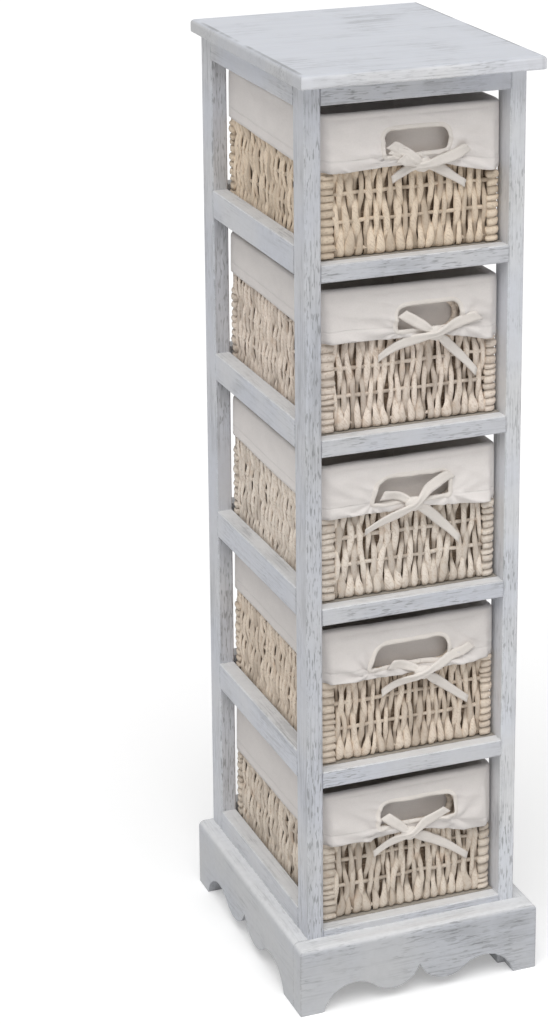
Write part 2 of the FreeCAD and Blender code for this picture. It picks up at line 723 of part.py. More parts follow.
def make_strap(start, finish):
    """A flat tape from start to finish that stands off the cloth halfway."""
    run = finish - start
    across = FreeCAD.Vector(-run.z, 0, run.x).normalize() * (worth("tape_width") / 2)
    thick = FreeCAD.Vector(0, worth("tape_thickness") / 2, 0)
    middle = (start + finish) / 2 - FreeCAD.Vector(0, worth("tape_bulge"), 0)
    return Part.makeLoft([tape_section(spot, across, thick) for spot in (start, middle, finish)], True, True)


def make_basket_tie(number):
    """A rounded knot on the flap with two sewn arms and two hanging tails."""
    face = -worth(FLAP_FACE) - worth("seat_gap")
    width, top = worth(BASKET_WIDTH), worth(LINER_TOP)
    knot_size = FreeCAD.Vector(worth("knot_width"), worth("knot_depth"), worth("knot_height"))

    def spot(shares, y):
        return FreeCAD.Vector(width * shares[0], y, top - worth("flap_drop") * shares[1])

    knot_shares, *end_shares = TIE_SHARES[number - 1]
    centre = spot(knot_shares, face - knot_size.y / 2)
    knot = Part.makeBox(*knot_size, centre - knot_size / 2)
    knot = knot.makeChamfer(worth("knot_bevel"), knot.Edges)
    straps = [make_strap(centre, spot(shares, face - worth("tape_thickness"))) for shares in end_shares]
    tie = doc.addObject("Part::Feature", f"basket_{number}_tie")
    tie.Shape = knot.fuse(straps).removeSplitter()
    tie.Placement = FreeCAD.Placement()
    bind(tie, "Placement.Base.y", BASKET_Y)
    bind(tie, "Placement.Base.z", f"{level(number)} + seat_gap")
    return tie


pieces = [make_top_board(), make_front_skirt(), make_rear_skirt(), make_dowels()]
for side_name in SIDES:
    pieces.append(make_side_skirt(side_name))
    for end_name in ENDS:
        pieces.append(make_post(side_name, end_name))
    for index in range(LEVELS):
        pieces.append(make_side_rail(side_name, index))
for end_name in ENDS:
    for index in range(LEVELS):
        pieces.append(make_cross_rail(end_name, index))
for number in range(1, BASKETS + 1):
    pieces.append(make_shelf_panel(number))
    pieces.append(make_basket_frame(number))
    pieces.append(make_basket_weave(number))
    pieces.append(make_basket_liner(number))
    pieces.append(make_basket_tie(number))
doc.recompute()

# Every object has to be sound, and every pocket has to have cut something, before a file is written
for thing in doc.Objects:
    if "Invalid" in thing.State or "Error" in thing.State:
        raise RuntimeError(f"{thing.Label} failed: {thing.State}")
    if thing.TypeId == "PartDesign::Pocket" and thing.Shape.Volume >= thing.BaseFeature.Shape.Volume:
        raise RuntimeError(f"{thing.Label} cuts nothing")
for piece in pieces:
    if piece.Shape.isNull() or not piece.Shape.isValid():
        raise RuntimeError(f"{piece.Label} has no sound shape")

os.makedirs("parts", exist_ok=True)
for piece in pieces:
    piece.Shape.exportStep(f"parts/{piece.Label}.step")
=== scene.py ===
import random
from math import atan2, cos, exp, pi, radians, sin, sqrt, tau

import bmesh
import bpy
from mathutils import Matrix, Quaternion, Vector, noise


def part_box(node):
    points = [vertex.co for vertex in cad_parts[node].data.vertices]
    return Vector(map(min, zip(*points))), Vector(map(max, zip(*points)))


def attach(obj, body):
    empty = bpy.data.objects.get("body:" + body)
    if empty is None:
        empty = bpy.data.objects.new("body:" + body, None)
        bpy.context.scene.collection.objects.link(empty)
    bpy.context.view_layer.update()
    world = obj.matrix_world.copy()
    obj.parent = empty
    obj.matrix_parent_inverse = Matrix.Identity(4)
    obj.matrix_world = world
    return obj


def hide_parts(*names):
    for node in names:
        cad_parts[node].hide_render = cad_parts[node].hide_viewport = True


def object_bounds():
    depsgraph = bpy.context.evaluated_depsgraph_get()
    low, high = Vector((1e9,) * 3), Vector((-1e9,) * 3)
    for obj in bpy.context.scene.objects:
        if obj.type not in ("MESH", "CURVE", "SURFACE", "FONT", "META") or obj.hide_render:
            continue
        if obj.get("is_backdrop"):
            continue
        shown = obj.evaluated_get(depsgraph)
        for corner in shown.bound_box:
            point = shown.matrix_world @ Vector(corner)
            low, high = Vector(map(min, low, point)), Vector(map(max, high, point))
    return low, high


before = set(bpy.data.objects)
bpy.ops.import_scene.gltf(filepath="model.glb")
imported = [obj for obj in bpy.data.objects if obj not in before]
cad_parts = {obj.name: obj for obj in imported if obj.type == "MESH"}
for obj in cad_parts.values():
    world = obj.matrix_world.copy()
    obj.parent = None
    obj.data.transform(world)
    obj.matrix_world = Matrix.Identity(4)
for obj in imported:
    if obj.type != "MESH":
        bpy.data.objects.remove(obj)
cad_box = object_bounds()

# Camera, fitted to the photograph's edges. Its lens and sensor are in millimetres. All other lengths are in
# metres, angles are in degrees, and rows of five values run from the top basket down.
CAMERA_PLACE = Vector((-0.98554, -2.36503, 1.43359))
YAW_PITCH_ROLL = (22.13, -15.95, -0.10)
CAMERA_LENS = 97.14
CAMERA_SHIFT = (-0.0645, -0.2363)
SENSOR_WIDTH = 36
CAMERA_REACH = 100

# Light and floor
KEY_PLACE = Vector((-0.68, -1.36, 3.4))
KEY_TARGET = Vector((0, 0, 0.4))
KEY_SPREAD = 50
KEY_POWER = 2.0
SKY_STRENGTH = 0.38
FLOOR_GLOW = 0.3
FLOOR_HALF = 20.0

BASKETS = 5

# Corners of a rectangle, from the front's left end round
CORNER_SIGNS = ((-1, -1), (1, -1), (1, 1), (-1, 1))

# Woven walls
WALL = 0.006
CORNER_ROUND = 0.009
CORNER_WIDTH = 0.012
CORNER_STEPS = 5
LEFT_WRAP = 0.0152
RIM_HEIGHT = 0.009
ROW_PITCH = 0.027
FIRST_ROW = 0.007
STRAND_PITCHES = (0.0050, 0.0046, 0.0048, 0.0044, 0.0046)
STRAND_WIDTH_SHARE = 1.15
STRAND_SWELL = 0.2
STRAND_THICKNESS = 0.0031
STRAND_SWING = 0.0016
STRAND_WOBBLE = 0.0042
STRAND_LOOP = 0.0031
LOOP_REACH = 0.012
BOTTOM_SWING = 0.05
STRAND_TURN = 0.9
STRAND_TWIST = 45.0
STRAND_STEP = 0.003
STRAND_LOW = 0.0006
STRAND_TONES = (0.62, 1.0)
STRAND_GIRTHS = (0.78, 1.2)
LOOP_GIRTHS = (0.4, 1.3)
SWING_GAIN = 0.35
SHADE_START = 0.1
SHADE_REACH = 0.8
BOTTOM_REACH = 1.6
WIDTH_RIPPLE = 0.25
THICK_SWELL = 0.15
THICK_RIPPLE = 0.12
TUCK_SHARE = 0.6
STRAND_TONE_RIPPLE = 0.2
ROW_JITTER = 0.14
RIDGE_SHARE = 0.4
BEHIND_SHADE = 0.5
STRAND_SECTION = (
    (-0.5, -0.2), (-0.4, 0.12), (-0.2, 0.38), (0.0, 0.5), (0.2, 0.38), (0.4, 0.12), (0.5, -0.2), (0.24, -0.5),
    (-0.24, -0.5),
)
WIRE_RADIUS = 0.0019
WIRE_OUT = 0.0005
WIRE_WOBBLE = 0.0016
WIRE_STEP = 0.006
# Wires take darker tones than the strands: painted shade
WIRE_TONES = (0.4, 0.8)
WIRE_RIPPLE = 0.3
HIDDEN_WEAVE = 0.02
# A dark sheet behind the strands: painted shade in the gaps of the weave
SHADE_SHEET_DEPTHS = (-0.0048, -0.0052)
SHADE_SHEET_TONE = 0.08
SHADE_SHEET_LOW = 0.003
BASE_PITCH = 0.0088
BASE_HEIGHT = 0.0052
BASE_STEPS = 8
BASE_RIPPLE = 0.1
HIDDEN_TONE = 0.6
TONE_RIPPLE = 0.3
HOLE_WIDTH = 0.096
HOLE_HEIGHT = 0.030
HOLE_DROP = 0.014
HOLE_WRAP_WIDTH = 0.007
HOLE_WRAP_DEPTH = 0.0056
HOLE_WRAP_PITCH = 0.0046
HOLE_WRAP_STEPS = 4
HOLE_WRAP_GIRTH = 0.4
HOLE_WRAP_SWELL = 0.1
HOLE_TONE = 0.62

# Husk wraps of the corners and the rim
WRAP_HEIGHT = 0.0074
WRAP_BULGE = 0.0022
WRAP_SINK = 0.5
WRAP_TILT = 0.0024
WRAP_REACH = 0.0013
WRAP_ROUND = 0.0065
END_LEAN = 0.3
INNER_LEAN = 0.5
WRAP_LUMP = 0.0007
WRAP_SIZES = (0.7, 1.35)
WRAP_TONES = (0.7, 1.0)
WRAP_LEANS = (-0.6, 1.0)
WRAP_GIRTHS = (0.7, 1.25)
WRAP_CALM_REACH = 0.012
WRAP_HEM_REACH = 0.004
WRAP_PROFILE = ((0.03, 0.0), (0.2, 0.8), (0.5, 1.0), (0.8, 0.8), (0.97, 0.0))
WRAP_SHADE = 0.3
RIM_STEP = 0.0032
RIM_GIRTH = 0.92
RIM_SWELL = 0.08
RIM_SIDES = 8

# Cotton liner. Offsets count outwards from the woven wall's outer face.
CLOTH = 0.0012
CLOTH_GAP = 0.0003
FLAP_OFFSET = CLOTH_GAP + CLOTH / 2
SLEEVE_OFFSET = -WALL - FLAP_OFFSET
TURN_DROP = 0.0036
TURN_SHARES = (
    (0.0, 0.0), (0.03, 0.5), (0.13, 0.84), (0.3, 1.02), (0.5, 1.06),
    (0.7, 1.02), (0.87, 0.84), (0.97, 0.5), (1.0, 0.0),
)
FLAP_DROP = 0.050
HEM_WIDTH = 0.0105
HEM_WAVE = 0.0010
HEM_SWELL = 0.0011
RIM_RUFFLE = 0.0018
SOFT_SWELL = 0.0048
CREASE_SWELL = 0.0032
CREASE_STEEPNESS = 4
CREASE_POWER = 1.5
FOLD_SWELLS = (0.0032, 0.0038, 0.0038, 0.0054, 0.0042)
FOLD_REACH = 0.035
FOLD_RISE = 0.004
FOLD_START = 0.014
FOLD_SPREADS = (9, 7)
SLEEVE_SWELL = 0.0011
SIDE_CALM = 0.065
HANG_REACH = 0.018
NOTCH_DROP = 0.016
NOTCH_STRIP = 0.010
NOTCH_ROUND = 0.014
NOTCH_LOW_ROUND = 0.004
NOTCH_LOW_DROP = 0.001
BINDING_WIDTH = 0.0048
BINDING_THICKNESS = 0.0032
NO_HEM = 0.1
SEAM_GAP = 0.00002
ROUND_LIMIT = 0.48
ROUND_STEPS = 6
CLOTH_TONE = 0.5

# How far each front hem hangs at its left end, its knot and its right end, down from the top in flap lengths
HEM_SHARES = (
    (1.02, 0.97, 1.24), (0.89, 0.94, 1.14), (0.99, 0.95, 1.05), (0.96, 0.97, 0.94), (1.0, 0.99, 1.2),
)

# How far each basket's side hems lie over a full flap's, in front and at the back
SIDE_RISES = ((-0.004, 0.004), (0.010, 0.015), (0.006, 0.012), (0.010, 0.014), (0.0, 0.0))
SIDE_HEM_REACH = 0.04

# How far the cloth stands up over the rim at each basket's left and right
RIM_LIFTS = ((0.0004, 0.001), (0.0038, 0.0015), (0.0012, 0.0014), (0.0028, 0.002), (0.0, 0.0012))

# Left and right ends of each flap's notch, from the basket's middle along its width
NOTCH_SHARES = ((-0.16, 0.204), (-0.084, 0.274), (-0.216, 0.22), (-0.233, 0.221), (-0.178, 0.268))

# How round each notch's lower right corner is
NOTCH_ENDS = (0.0115, 0.006, 0.004, 0.009, 0.006)

# How far each notch's upper left corner lies right of its lower one
NOTCH_LEANS = (0.0, 0.001, 0.007, 0.009, 0.002)

# Each tie's knot, two arms and two tails: along the basket's width, and down from its top in flap lengths
TIE_SHARES = (
    ((0.049, 1.0), (-0.125, 0.67), (0.303, 0.76), (-0.106, 1.27), (0.298, 1.48)),
    ((0.12, 0.88), (-0.058, 0.46), (0.37, 0.64), (-0.178, 1.3), (0.375, 1.8)),
    ((0.006, 0.84), (-0.168, 0.62), (0.226, 0.38), (-0.25, 1.35), (0.288, 1.77)),
    ((0.064, 0.96), (-0.12, 0.72), (0.351, 0.58), (-0.154, 1.35), (0.346, 1.79)),
    ((-0.004, 1.0), (-0.149, 0.56), (0.212, 0.62), (-0.197, 1.4), (0.356, 1.81)),
)

# Ends of further folds of cloth that spread from the top basket's knot
FAN_SHARES = ((-0.13, 0.56), (-0.085, 0.83))
TAPE_WIDTH = 0.0105
TAPE_THICKNESS = 0.0017
TAPE_STEPS = 26
TAPE_ROLL = 0.55
TAPE_OFF = 0.0018
TAPE_BOW = 0.004
TAPE_WAVE = 0.0011
TAPE_SLANT = 0.5
TAIL_TAPER = 0.32
TAIL_STEEPNESS = 2.5
SLANT_STEEPNESS = 6
TAPE_RIPPLE = 0.12
ROLL_OFF = 0.6
ARM_STEPS = 5
PATH_STEPS = 12
TAPE_SECTION = (
    (-1, 0), (-0.75, 0.9), (-0.36, 1.1), (0, 0.55), (0.36, 1.1), (0.75, 0.9), (1, 0),
    (0.6, -0.9), (0, -0.6), (-0.6, -0.9),
)
PINCH_REACH = 0.012
PINCH_SHARE = 0.42
PINCH_THICK = 1.6
KNOT_SIZE = Vector((0.0092, 0.0046, 0.0072))
KNOT_STEPS = 10
KNOT_FOLD = 0.07
KNOT_WAVE = 0.05
KNOT_OFF = 0.0036
OVER_OFF = 0.0072
UNDER_OFF = 0.0038


def smooth(share):
    share = min(1, max(0, share))
    return share * share * (3 - 2 * share)


def mix(start, end, share):
    return start + (end - start) * share


def ripple(x, y, z):
    """Smooth noise from -1 to 1."""
    return noise.noise(Vector((x, y, z)))


def upwards(height):
    return Vector((0, 0, height))


def circle(count):
    return [tau * j / count for j in range(count)]


def direction(path, k):
    """Which way a path runs at one of its points."""
    return (path[min(k + 1, len(path) - 1)] - path[max(k - 1, 0)]).normalized()


# Piece building


class Gatherer:
    """Points and faces of one piece. Each point has a tone, and its place round and along its fibre."""

    def __init__(self):
        self.points, self.faces, self.tones, self.fibres = [], [], [], []

    def tube(self, toned_rings, closed=False):
        """A tube through rings of points, each with its tone. An open one gets flat ends."""
        rings, tones = zip(*toned_rings)
        count, start, run = len(rings[0]), len(self.points), 0.0
        for k, ring in enumerate(rings):
            if k:
                run += (ring[0] - rings[k - 1][0]).length
            for j, point in enumerate(ring):
                self.points.append(point)
                self.tones.append(tones[k])
                self.fibres.append((j / count + run * STRAND_TWIST, run, tones[k]))
        for k in range(len(rings) if closed else len(rings) - 1):
            here, after = start + k * count, start + (k + 1) % len(rings) * count
            for j in range(count):
                beside = (j + 1) % count
                self.faces.append((here + j, here + beside, after + beside, after + j))
        if not closed:
            last = start + (len(rings) - 1) * count
            self.faces.append(tuple(range(start + count - 1, start - 1, -1)))
            self.faces.append(tuple(range(last, last + count)))

    def piece(self, name, origin, material):
        mesh = bpy.data.meshes.new(name)
        mesh.from_pydata([origin + point for point in self.points], [], self.faces)
        mesh.attributes.new("tone", "FLOAT", "POINT").data.foreach_set("value", self.tones)
        flat = [number for fibre in self.fibres for number in fibre]
        mesh.attributes.new("fibre", "FLOAT_VECTOR", "POINT").data.foreach_set("vector", flat)
        return as_piece(mesh, material)


def add_object(name, data):
    made = bpy.data.objects.new(name, data)
    bpy.context.scene.collection.objects.link(made)
    return made


def as_piece(mesh, material):
    """A smooth object of the mesh with its faces turned outwards."""
    shell = bmesh.new()
    shell.from_mesh(mesh)
    bmesh.ops.recalc_face_normals(shell, faces=shell.faces)
    shell.to_mesh(mesh)
    shell.free()
    mesh.polygons.foreach_set("use_smooth", [True] * len(mesh.polygons))
    mesh.materials.append(material)
    return add_object(mesh.name, mesh)


class Wall:
    """One side of a basket. Along runs to the right of someone who looks at it from outside."""

    def __init__(self, out, half_length, face):
        self.out = Vector(out)
        self.along = Vector((-self.out.y, self.out.x, 0))
        self.half_length, self.face = half_length, face

    def at(self, along, depth, height):
        return self.along * along + self.out * (self.face + depth) + upwards(height)


class Basket:
    """Sizes and places of one basket, read from the frame. Its origin is under the middle of its base."""

    def __init__(self, number):
        low, high = (Vector(corner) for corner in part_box(f"basket_{number}_frame"))
        self.number, self.index = number, number - 1
        self.body = f"basket_{number}"
        self.origin = Vector(((low.x + high.x) / 2, (low.y + high.y) / 2, low.z))
        self.half_x, self.half_y, self.height = (high.x - low.x) / 2, (high.y - low.y) / 2, high.z - low.z
        self.liner_top = self.height + CLOTH_GAP + CLOTH
        self.flap_bottom = self.liner_top - FLAP_DROP
        x, y = self.half_x, self.half_y
        self.walls = [
            Wall((0, -1, 0), x, y), Wall((1, 0, 0), y, x), Wall((0, 1, 0), x, y), Wall((-1, 0, 0), y, x),
        ]
        self.draw = random.Random(number)

    def name(self, kind):
        return f"{self.body}_{kind}"

    def wear(self, piece, kind, slot):
        """The piece moves with the basket and stands for its CAD node. The slot is not used."""
        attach(piece, self.body)
        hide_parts(self.name(kind))


# Materials

# Streaks, lines and dashes in the wood: noise scales across the grain and along it, detail and roughness
STREAKS = ((80.0, 7.0), 5.0, 0.6)
LINES = ((400.0, 13.0), 3.0, 0.6)
DASHES = ((620.0, 85.0), 2.0, 0.5)
WEARS = (-0.03, -0.03, 0.05)
EDGE_REACH = 0.0028
FRONT_MASK = (-0.8, -0.2)
COOL_SHARES = (0.95, 0.97, 1.02)
FIBRE_SCALES = (9.0, 60.0, 40.0)
CREASE_SCALES = (38.0, 38.0, 62.0)

# Colours
WASH = (0.655, 0.66, 0.68)
# Faces that look up take a lighter wash: painted light from above
UPPER_WASH_PAINTED_LIGHT = (0.72, 0.725, 0.735)
TOP_WASH = (0.63, 0.65, 0.70)
# The top board's faces that do not look up take a paler wash than its top: a painted highlight
BOARD_WASH_AND_HIGHLIGHT = (0.82, 0.82, 0.83)
PALE_WASH = (0.76, 0.765, 0.775)
PLINTH_WASH = (0.575, 0.58, 0.59)
WORN = (0.33, 0.335, 0.345)
SHELF = (0.42, 0.385, 0.34)
SHELF_WORN = (0.26, 0.23, 0.20)
DOWEL = (0.55, 0.38, 0.2)
DOWEL_WORN = (0.36, 0.24, 0.12)
# The dark end of the husk's tones, also the colour of its painted shade
HUSK_DARK_AND_SHADE = (0.12, 0.08, 0.05)
HUSK_FIBRE = (0.56, 0.44, 0.33)
HUSK_STAIN = (0.62, 0.45, 0.32)
HUSK_FLECK = (0.50, 0.38, 0.27)
HUSK_PALE = (
    (0.93, 0.785, 0.62), (0.94, 0.83, 0.725), (0.935, 0.845, 0.745), (0.88, 0.765, 0.64), (0.83, 0.74, 0.635),
)
COTTON_TINT = (0.83, 0.785, 0.755)
# How much lighter or darker each liner's cotton is made, from the top basket down: painted light and shade
COTTON_PAINTED_LIGHT_SHARES = (1.05, 1.0, 1.06, 0.95, 0.94)
TAPE_TINT = (0.85, 0.795, 0.74)
FLOOR_TINTS = ((0.80, 0.80, 0.80), (0.82, 0.82, 0.82))


def tinted(colour, share):
    return [tint * share for tint in colour]


def is_socket(value):
    return isinstance(value, bpy.types.NodeSocket)


class Paint:
    """The nodes of a material or a world, and the shader that they feed."""

    def __init__(self, owner, shader="Principled BSDF"):
        owner.use_nodes = True
        self.owner = owner
        self.tree = owner.node_tree
        self.shader = self.tree.nodes[shader]

    def fill(self, node, inputs):
        for key, value in inputs.items():
            if is_socket(value):
                self.tree.links.new(value, node.inputs[key])
            else:
                node.inputs[key].default_value = value

    def feed(self, inputs):
        self.fill(self.shader, inputs)

    def node(self, kind, output, inputs=None, **settings):
        """One output of a new node."""
        made = self.tree.nodes.new("ShaderNode" + kind)
        for key, value in settings.items():
            setattr(made, key, value)
        self.fill(made, inputs or {})
        return made.outputs[output]

    def place(self):
        return self.node("TexCoord", "Object")

    def facing(self, axis):
        return self.node("SeparateXYZ", axis, {0: self.node("NewGeometry", "Normal")})

    def attribute(self, name, output):
        return self.node("Attribute", output, attribute_name=name)

    def cloud(self, scale, detail=3.0, roughness=0.55, place=None):
        """Noise of one scale, or of a scale for each axis."""
        place = place or self.place()
        if not isinstance(scale, float):
            place = self.node("Mapping", "Vector", {"Vector": place, "Scale": scale})
            scale = 1.0
        inputs = {"Vector": place, "Scale": scale, "Detail": detail, "Roughness": roughness}
        return self.node("TexNoise", "Fac", inputs)

    def between(self, value, low, high, to_low=0.0, to_high=1.0):
        inputs = {"Value": value, "From Min": low, "From Max": high, "To Min": to_low, "To Max": to_high}
        return self.node("MapRange", "Result", inputs, interpolation_type="SMOOTHSTEP")

    def maths(self, operation, first, second=0.0):
        return self.node("Math", "Value", {0: first, 1: second}, operation=operation)

    def plus(self, first, second):
        return self.maths("ADD", first, second)

    def minus(self, first, second):
        return self.maths("SUBTRACT", first, second)

    def times(self, first, second):
        return self.maths("MULTIPLY", first, second)

    def coats(self, colour, layers):
        """Lays colours over the first one, each with its share."""
        for share, tint in layers:
            below, above = (tone if is_socket(tone) else (*tone, 1) for tone in (colour, tint))
            colour = self.node("Mix", 2, {"Factor": share, 6: below, 7: above}, data_type="RGBA")
        self.feed({"Base Color": colour})

    def bump(self, height, strength, distance):
        inputs = {"Height": height, "Strength": strength, "Distance": distance}
        self.feed({"Normal": self.node("Bump", "Normal", inputs)})

    def seen(self):
        """1 for rays that show a surface, straight or by reflection, and 0 for those that light one."""
        kinds = ("Camera", "Glossy", "Transmission")
        camera, glossy, through = (self.node("LightPath", f"Is {kind} Ray") for kind in kinds)
        return self.maths("MAXIMUM", self.maths("MAXIMUM", camera, glossy), through)

    def worn_edges(self):
        """Where the surface turns sharply."""
        rounded = self.node("Bevel", "Normal", {"Radius": EDGE_REACH}, samples=4)
        flat = self.node("NewGeometry", "Normal")
        alike = self.node("VectorMath", "Value", {0: rounded, 1: flat}, operation="DOT_PRODUCT")
        return self.between(alike, 0.80, 0.985, 1.0, 0.0)

    def worn_ends(self, box):
        """A line along the upper edges of a board's ends, 1 in its middle."""
        low, high = box
        along = self.node("SeparateXYZ", "X", {0: self.place()})
        nearest = self.maths("MINIMUM", self.minus(along, low[0]), self.minus(high[0], along))
        return self.times(self.between(nearest, 0.001, 0.003), self.between(nearest, 0.004, 0.006, 1.0, 0.0))


def wood(name, along, wash, wear, worn=WORN, upper=UPPER_WASH_PAINTED_LIGHT, board=None):
    """White-washed, brushed wood with its grain along one axis. Wear sets how much of the grey shows
    through, faces that look up take a lighter wash as painted light, and a board's ends are rubbed and
    darker."""
    paint = Paint(bpy.data.materials.new(name))

    def grain(scales, detail, roughness):
        return paint.cloud([scales[axis == along] for axis in range(3)], detail, roughness)

    streaks, lines, dashes = grain(*STREAKS), grain(*LINES), grain(*DASHES)
    patches = paint.cloud(15.0)
    mottle = paint.cloud(160.0, 4.0)
    tinge = paint.cloud(8.0, 2.0)
    # Faces that look to the front show a little more of the grey, and more dashes
    front = paint.between(paint.facing("Y"), *FRONT_MASK, 0.07, 0.0)
    bare = paint.plus(patches, paint.plus(front, wear))
    spot = paint.between(bare, 0.42, 0.68)
    worn_here = paint.times(paint.between(streaks, 0.5, 0.68), spot)
    line_here = paint.times(paint.between(lines, 0.5, 0.66), paint.between(bare, 0.36, 0.66, 0.15, 1.0))
    dash_here = paint.times(paint.between(dashes, 0.54, 0.64), spot)
    edge_here = paint.between(paint.times(paint.worn_edges(), mottle), 0.36, 0.54)
    dash_share = paint.between(paint.facing("Y"), *FRONT_MASK, 0.65, 0.28)
    cool = [tint * share for tint, share in zip(wash, COOL_SHARES)]
    layers = [
        (paint.between(tinge, 0.35, 0.65), cool),
        # Faces that look up are lighter: painted light
        (paint.between(paint.facing("Z"), 0.3, 0.85), upper),
        (paint.between(mottle, 0.35, 0.7, 0.0, 0.16), tinted(wash, 0.75)),
        (paint.times(worn_here, 0.42), worn),
        (paint.times(line_here, 0.38), tinted(worn, 0.8)),
        (paint.times(dash_here, dash_share), tinted(worn, 0.65)),
        (paint.times(edge_here, 0.6), tinted(worn, 0.7)),
    ]
    if board:
        rubbed = paint.times(paint.worn_ends(board), paint.between(patches, 0.4, 0.55))
        # The board's end faces are darker
        darker_end_faces = paint.between(paint.maths("ABSOLUTE", paint.facing("X")), 0.45, 0.95, 0.0, 0.45)
        layers += [(paint.times(rubbed, 0.7), tinted(worn, 0.7)), (darker_end_faces, worn)]
    paint.coats(wash, layers)
    paint.feed({"Roughness": paint.between(streaks, 0.3, 0.7, 0.5, 0.66)})
    paint.bump(paint.minus(streaks, paint.plus(line_here, dash_here)), 0.25, 0.0006)
    return paint.owner


def husk(name, pale):
    """Dry husk: a tone per strand, whose dark end also carries painted shade, fibres along it and a few tawny
    stains.
    """
    paint = Paint(bpy.data.materials.new(name))
    fibres = paint.cloud(FIBRE_SCALES, place=paint.attribute("fibre", "Vector"))
    paint.coats(HUSK_DARK_AND_SHADE, [
        (paint.between(paint.attribute("tone", "Fac"), 0.0, 1.0), pale),
        (paint.between(fibres, 0.46, 0.72, 0.0, 0.5), HUSK_FIBRE),
        (paint.between(paint.cloud(45.0), 0.58, 0.74, 0.0, 0.45), HUSK_STAIN),
        (paint.between(paint.cloud(420.0, 2.0), 0.52, 0.70, 0.0, 0.35), HUSK_FLECK),
    ])
    paint.feed({"Roughness": 0.72, "Specular IOR Level": 0.3})
    paint.bump(fibres, 0.5, 0.0006)
    return paint.owner


def cotton(name, colour, seams):
    """Plain cotton with soft creases, with painted shade where they lie low, and a sewn line beside its hem
    where it has one.
    """
    paint = Paint(bpy.data.materials.new(name))
    creases = paint.cloud(CREASE_SCALES)
    threads = paint.cloud(900.0, 2.0)
    layers = [
        # Darker where the creases lie low: painted shade
        (paint.between(creases, 0.3, 0.7, 0.22, 0.0), tinted(colour, 0.78)),
        (paint.between(threads, 0.35, 0.7, 0.0, 0.12), tinted(colour, 0.7)),
    ]
    height = paint.plus(creases, paint.times(threads, 0.12))
    if seams:
        off_seam = paint.maths("ABSOLUTE", paint.minus(paint.attribute("hem", "Fac"), HEM_WIDTH))
        seam = paint.between(off_seam, 0.0004, 0.0012, 1.0, 0.0)
        layers.append((paint.times(seam, 0.1), tinted(colour, 0.55)))
        height = paint.minus(height, paint.times(seam, 0.3))
    paint.coats(colour, layers)
    paint.feed({"Roughness": 0.85, "Specular IOR Level": 0.2, "Sheen Weight": 0.15})
    paint.bump(height, 0.45, 0.0025)
    return paint.owner


def pale_floor():
    """A pale floor that is white to the camera outside the object's shadow."""
    paint = Paint(bpy.data.materials.new("pale_floor"))
    paint.coats(FLOOR_TINTS[0], [(paint.cloud(3.0), FLOOR_TINTS[1])])
    paint.feed({"Roughness": 0.9, "Specular IOR Level": 0.1, "Emission Color": (1, 1, 1, 1)})
    paint.feed({"Emission Strength": paint.times(paint.seen(), FLOOR_GLOW)})
    return paint.owner


WOODS = [wood(f"whitewash_along_{axis}", k, WASH, WEARS[k]) for k, axis in enumerate("xyz")]
SKIRT_WOODS = [wood(f"plinth_along_{axis}", k, PLINTH_WASH, -0.04) for k, axis in enumerate("xy")]
PALE_POST = wood("whitewash_pale", 2, PALE_WASH, -0.03)
# The top board's edges are paler than its top: a painted highlight
TOP_WOOD = wood("top_board_wood", 0, BOARD_WASH_AND_HIGHLIGHT, -0.03, upper=TOP_WASH, board=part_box("top_board"))
SHELF_WOOD = wood("shelf_wood", 0, SHELF, 0.05, SHELF_WORN, SHELF)
DOWEL_WOOD = wood("dowel_wood", 2, DOWEL, 0.0, DOWEL_WORN, DOWEL)
HUSK = [husk(f"husk_{number}", pale) for number, pale in enumerate(HUSK_PALE, 1)]
# Each liner's cotton is made lighter or darker: painted light and shade
COTTON = [
    cotton(f"liner_cotton_{k}", tinted(COTTON_TINT, share), True) for k, share in enumerate(COTTON_PAINTED_LIGHT_SHARES, 1)
]
TAPE = cotton("tie_cotton", TAPE_TINT, False)


# Wooden frame


def dress_frame():
    """Gives each wooden piece its wood, with the grain along its length."""
    own = {"dowels": DOWEL_WOOD, "top_board": TOP_WOOD, "post_front_right": PALE_POST}
    grain = {"post": 2, "front": 0, "rear": 0, "left": 1, "right": 1}
    for name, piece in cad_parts.items():
        kind = name.split("_")[0]
        if kind == "basket":
            continue
        if kind == "shelf":
            material = SHELF_WOOD
        elif name in own:
            material = own[name]
        else:
            material = (SKIRT_WOODS if name.endswith("skirt") else WOODS)[grain[kind]]
        piece.data.materials.clear()
        piece.data.materials.append(material)


# Woven walls, base and hand hole


def hole_edge(along, basket, side):
    """Height of the hand hole's lower or upper edge, or None beside the hole."""
    radius = HOLE_HEIGHT / 2
    past = abs(along) - (HOLE_WIDTH / 2 - radius)
    if past >= radius:
        return None
    middle = basket.height - HOLE_DROP - radius
    return middle + side * sqrt(radius**2 - max(past, 0) ** 2)


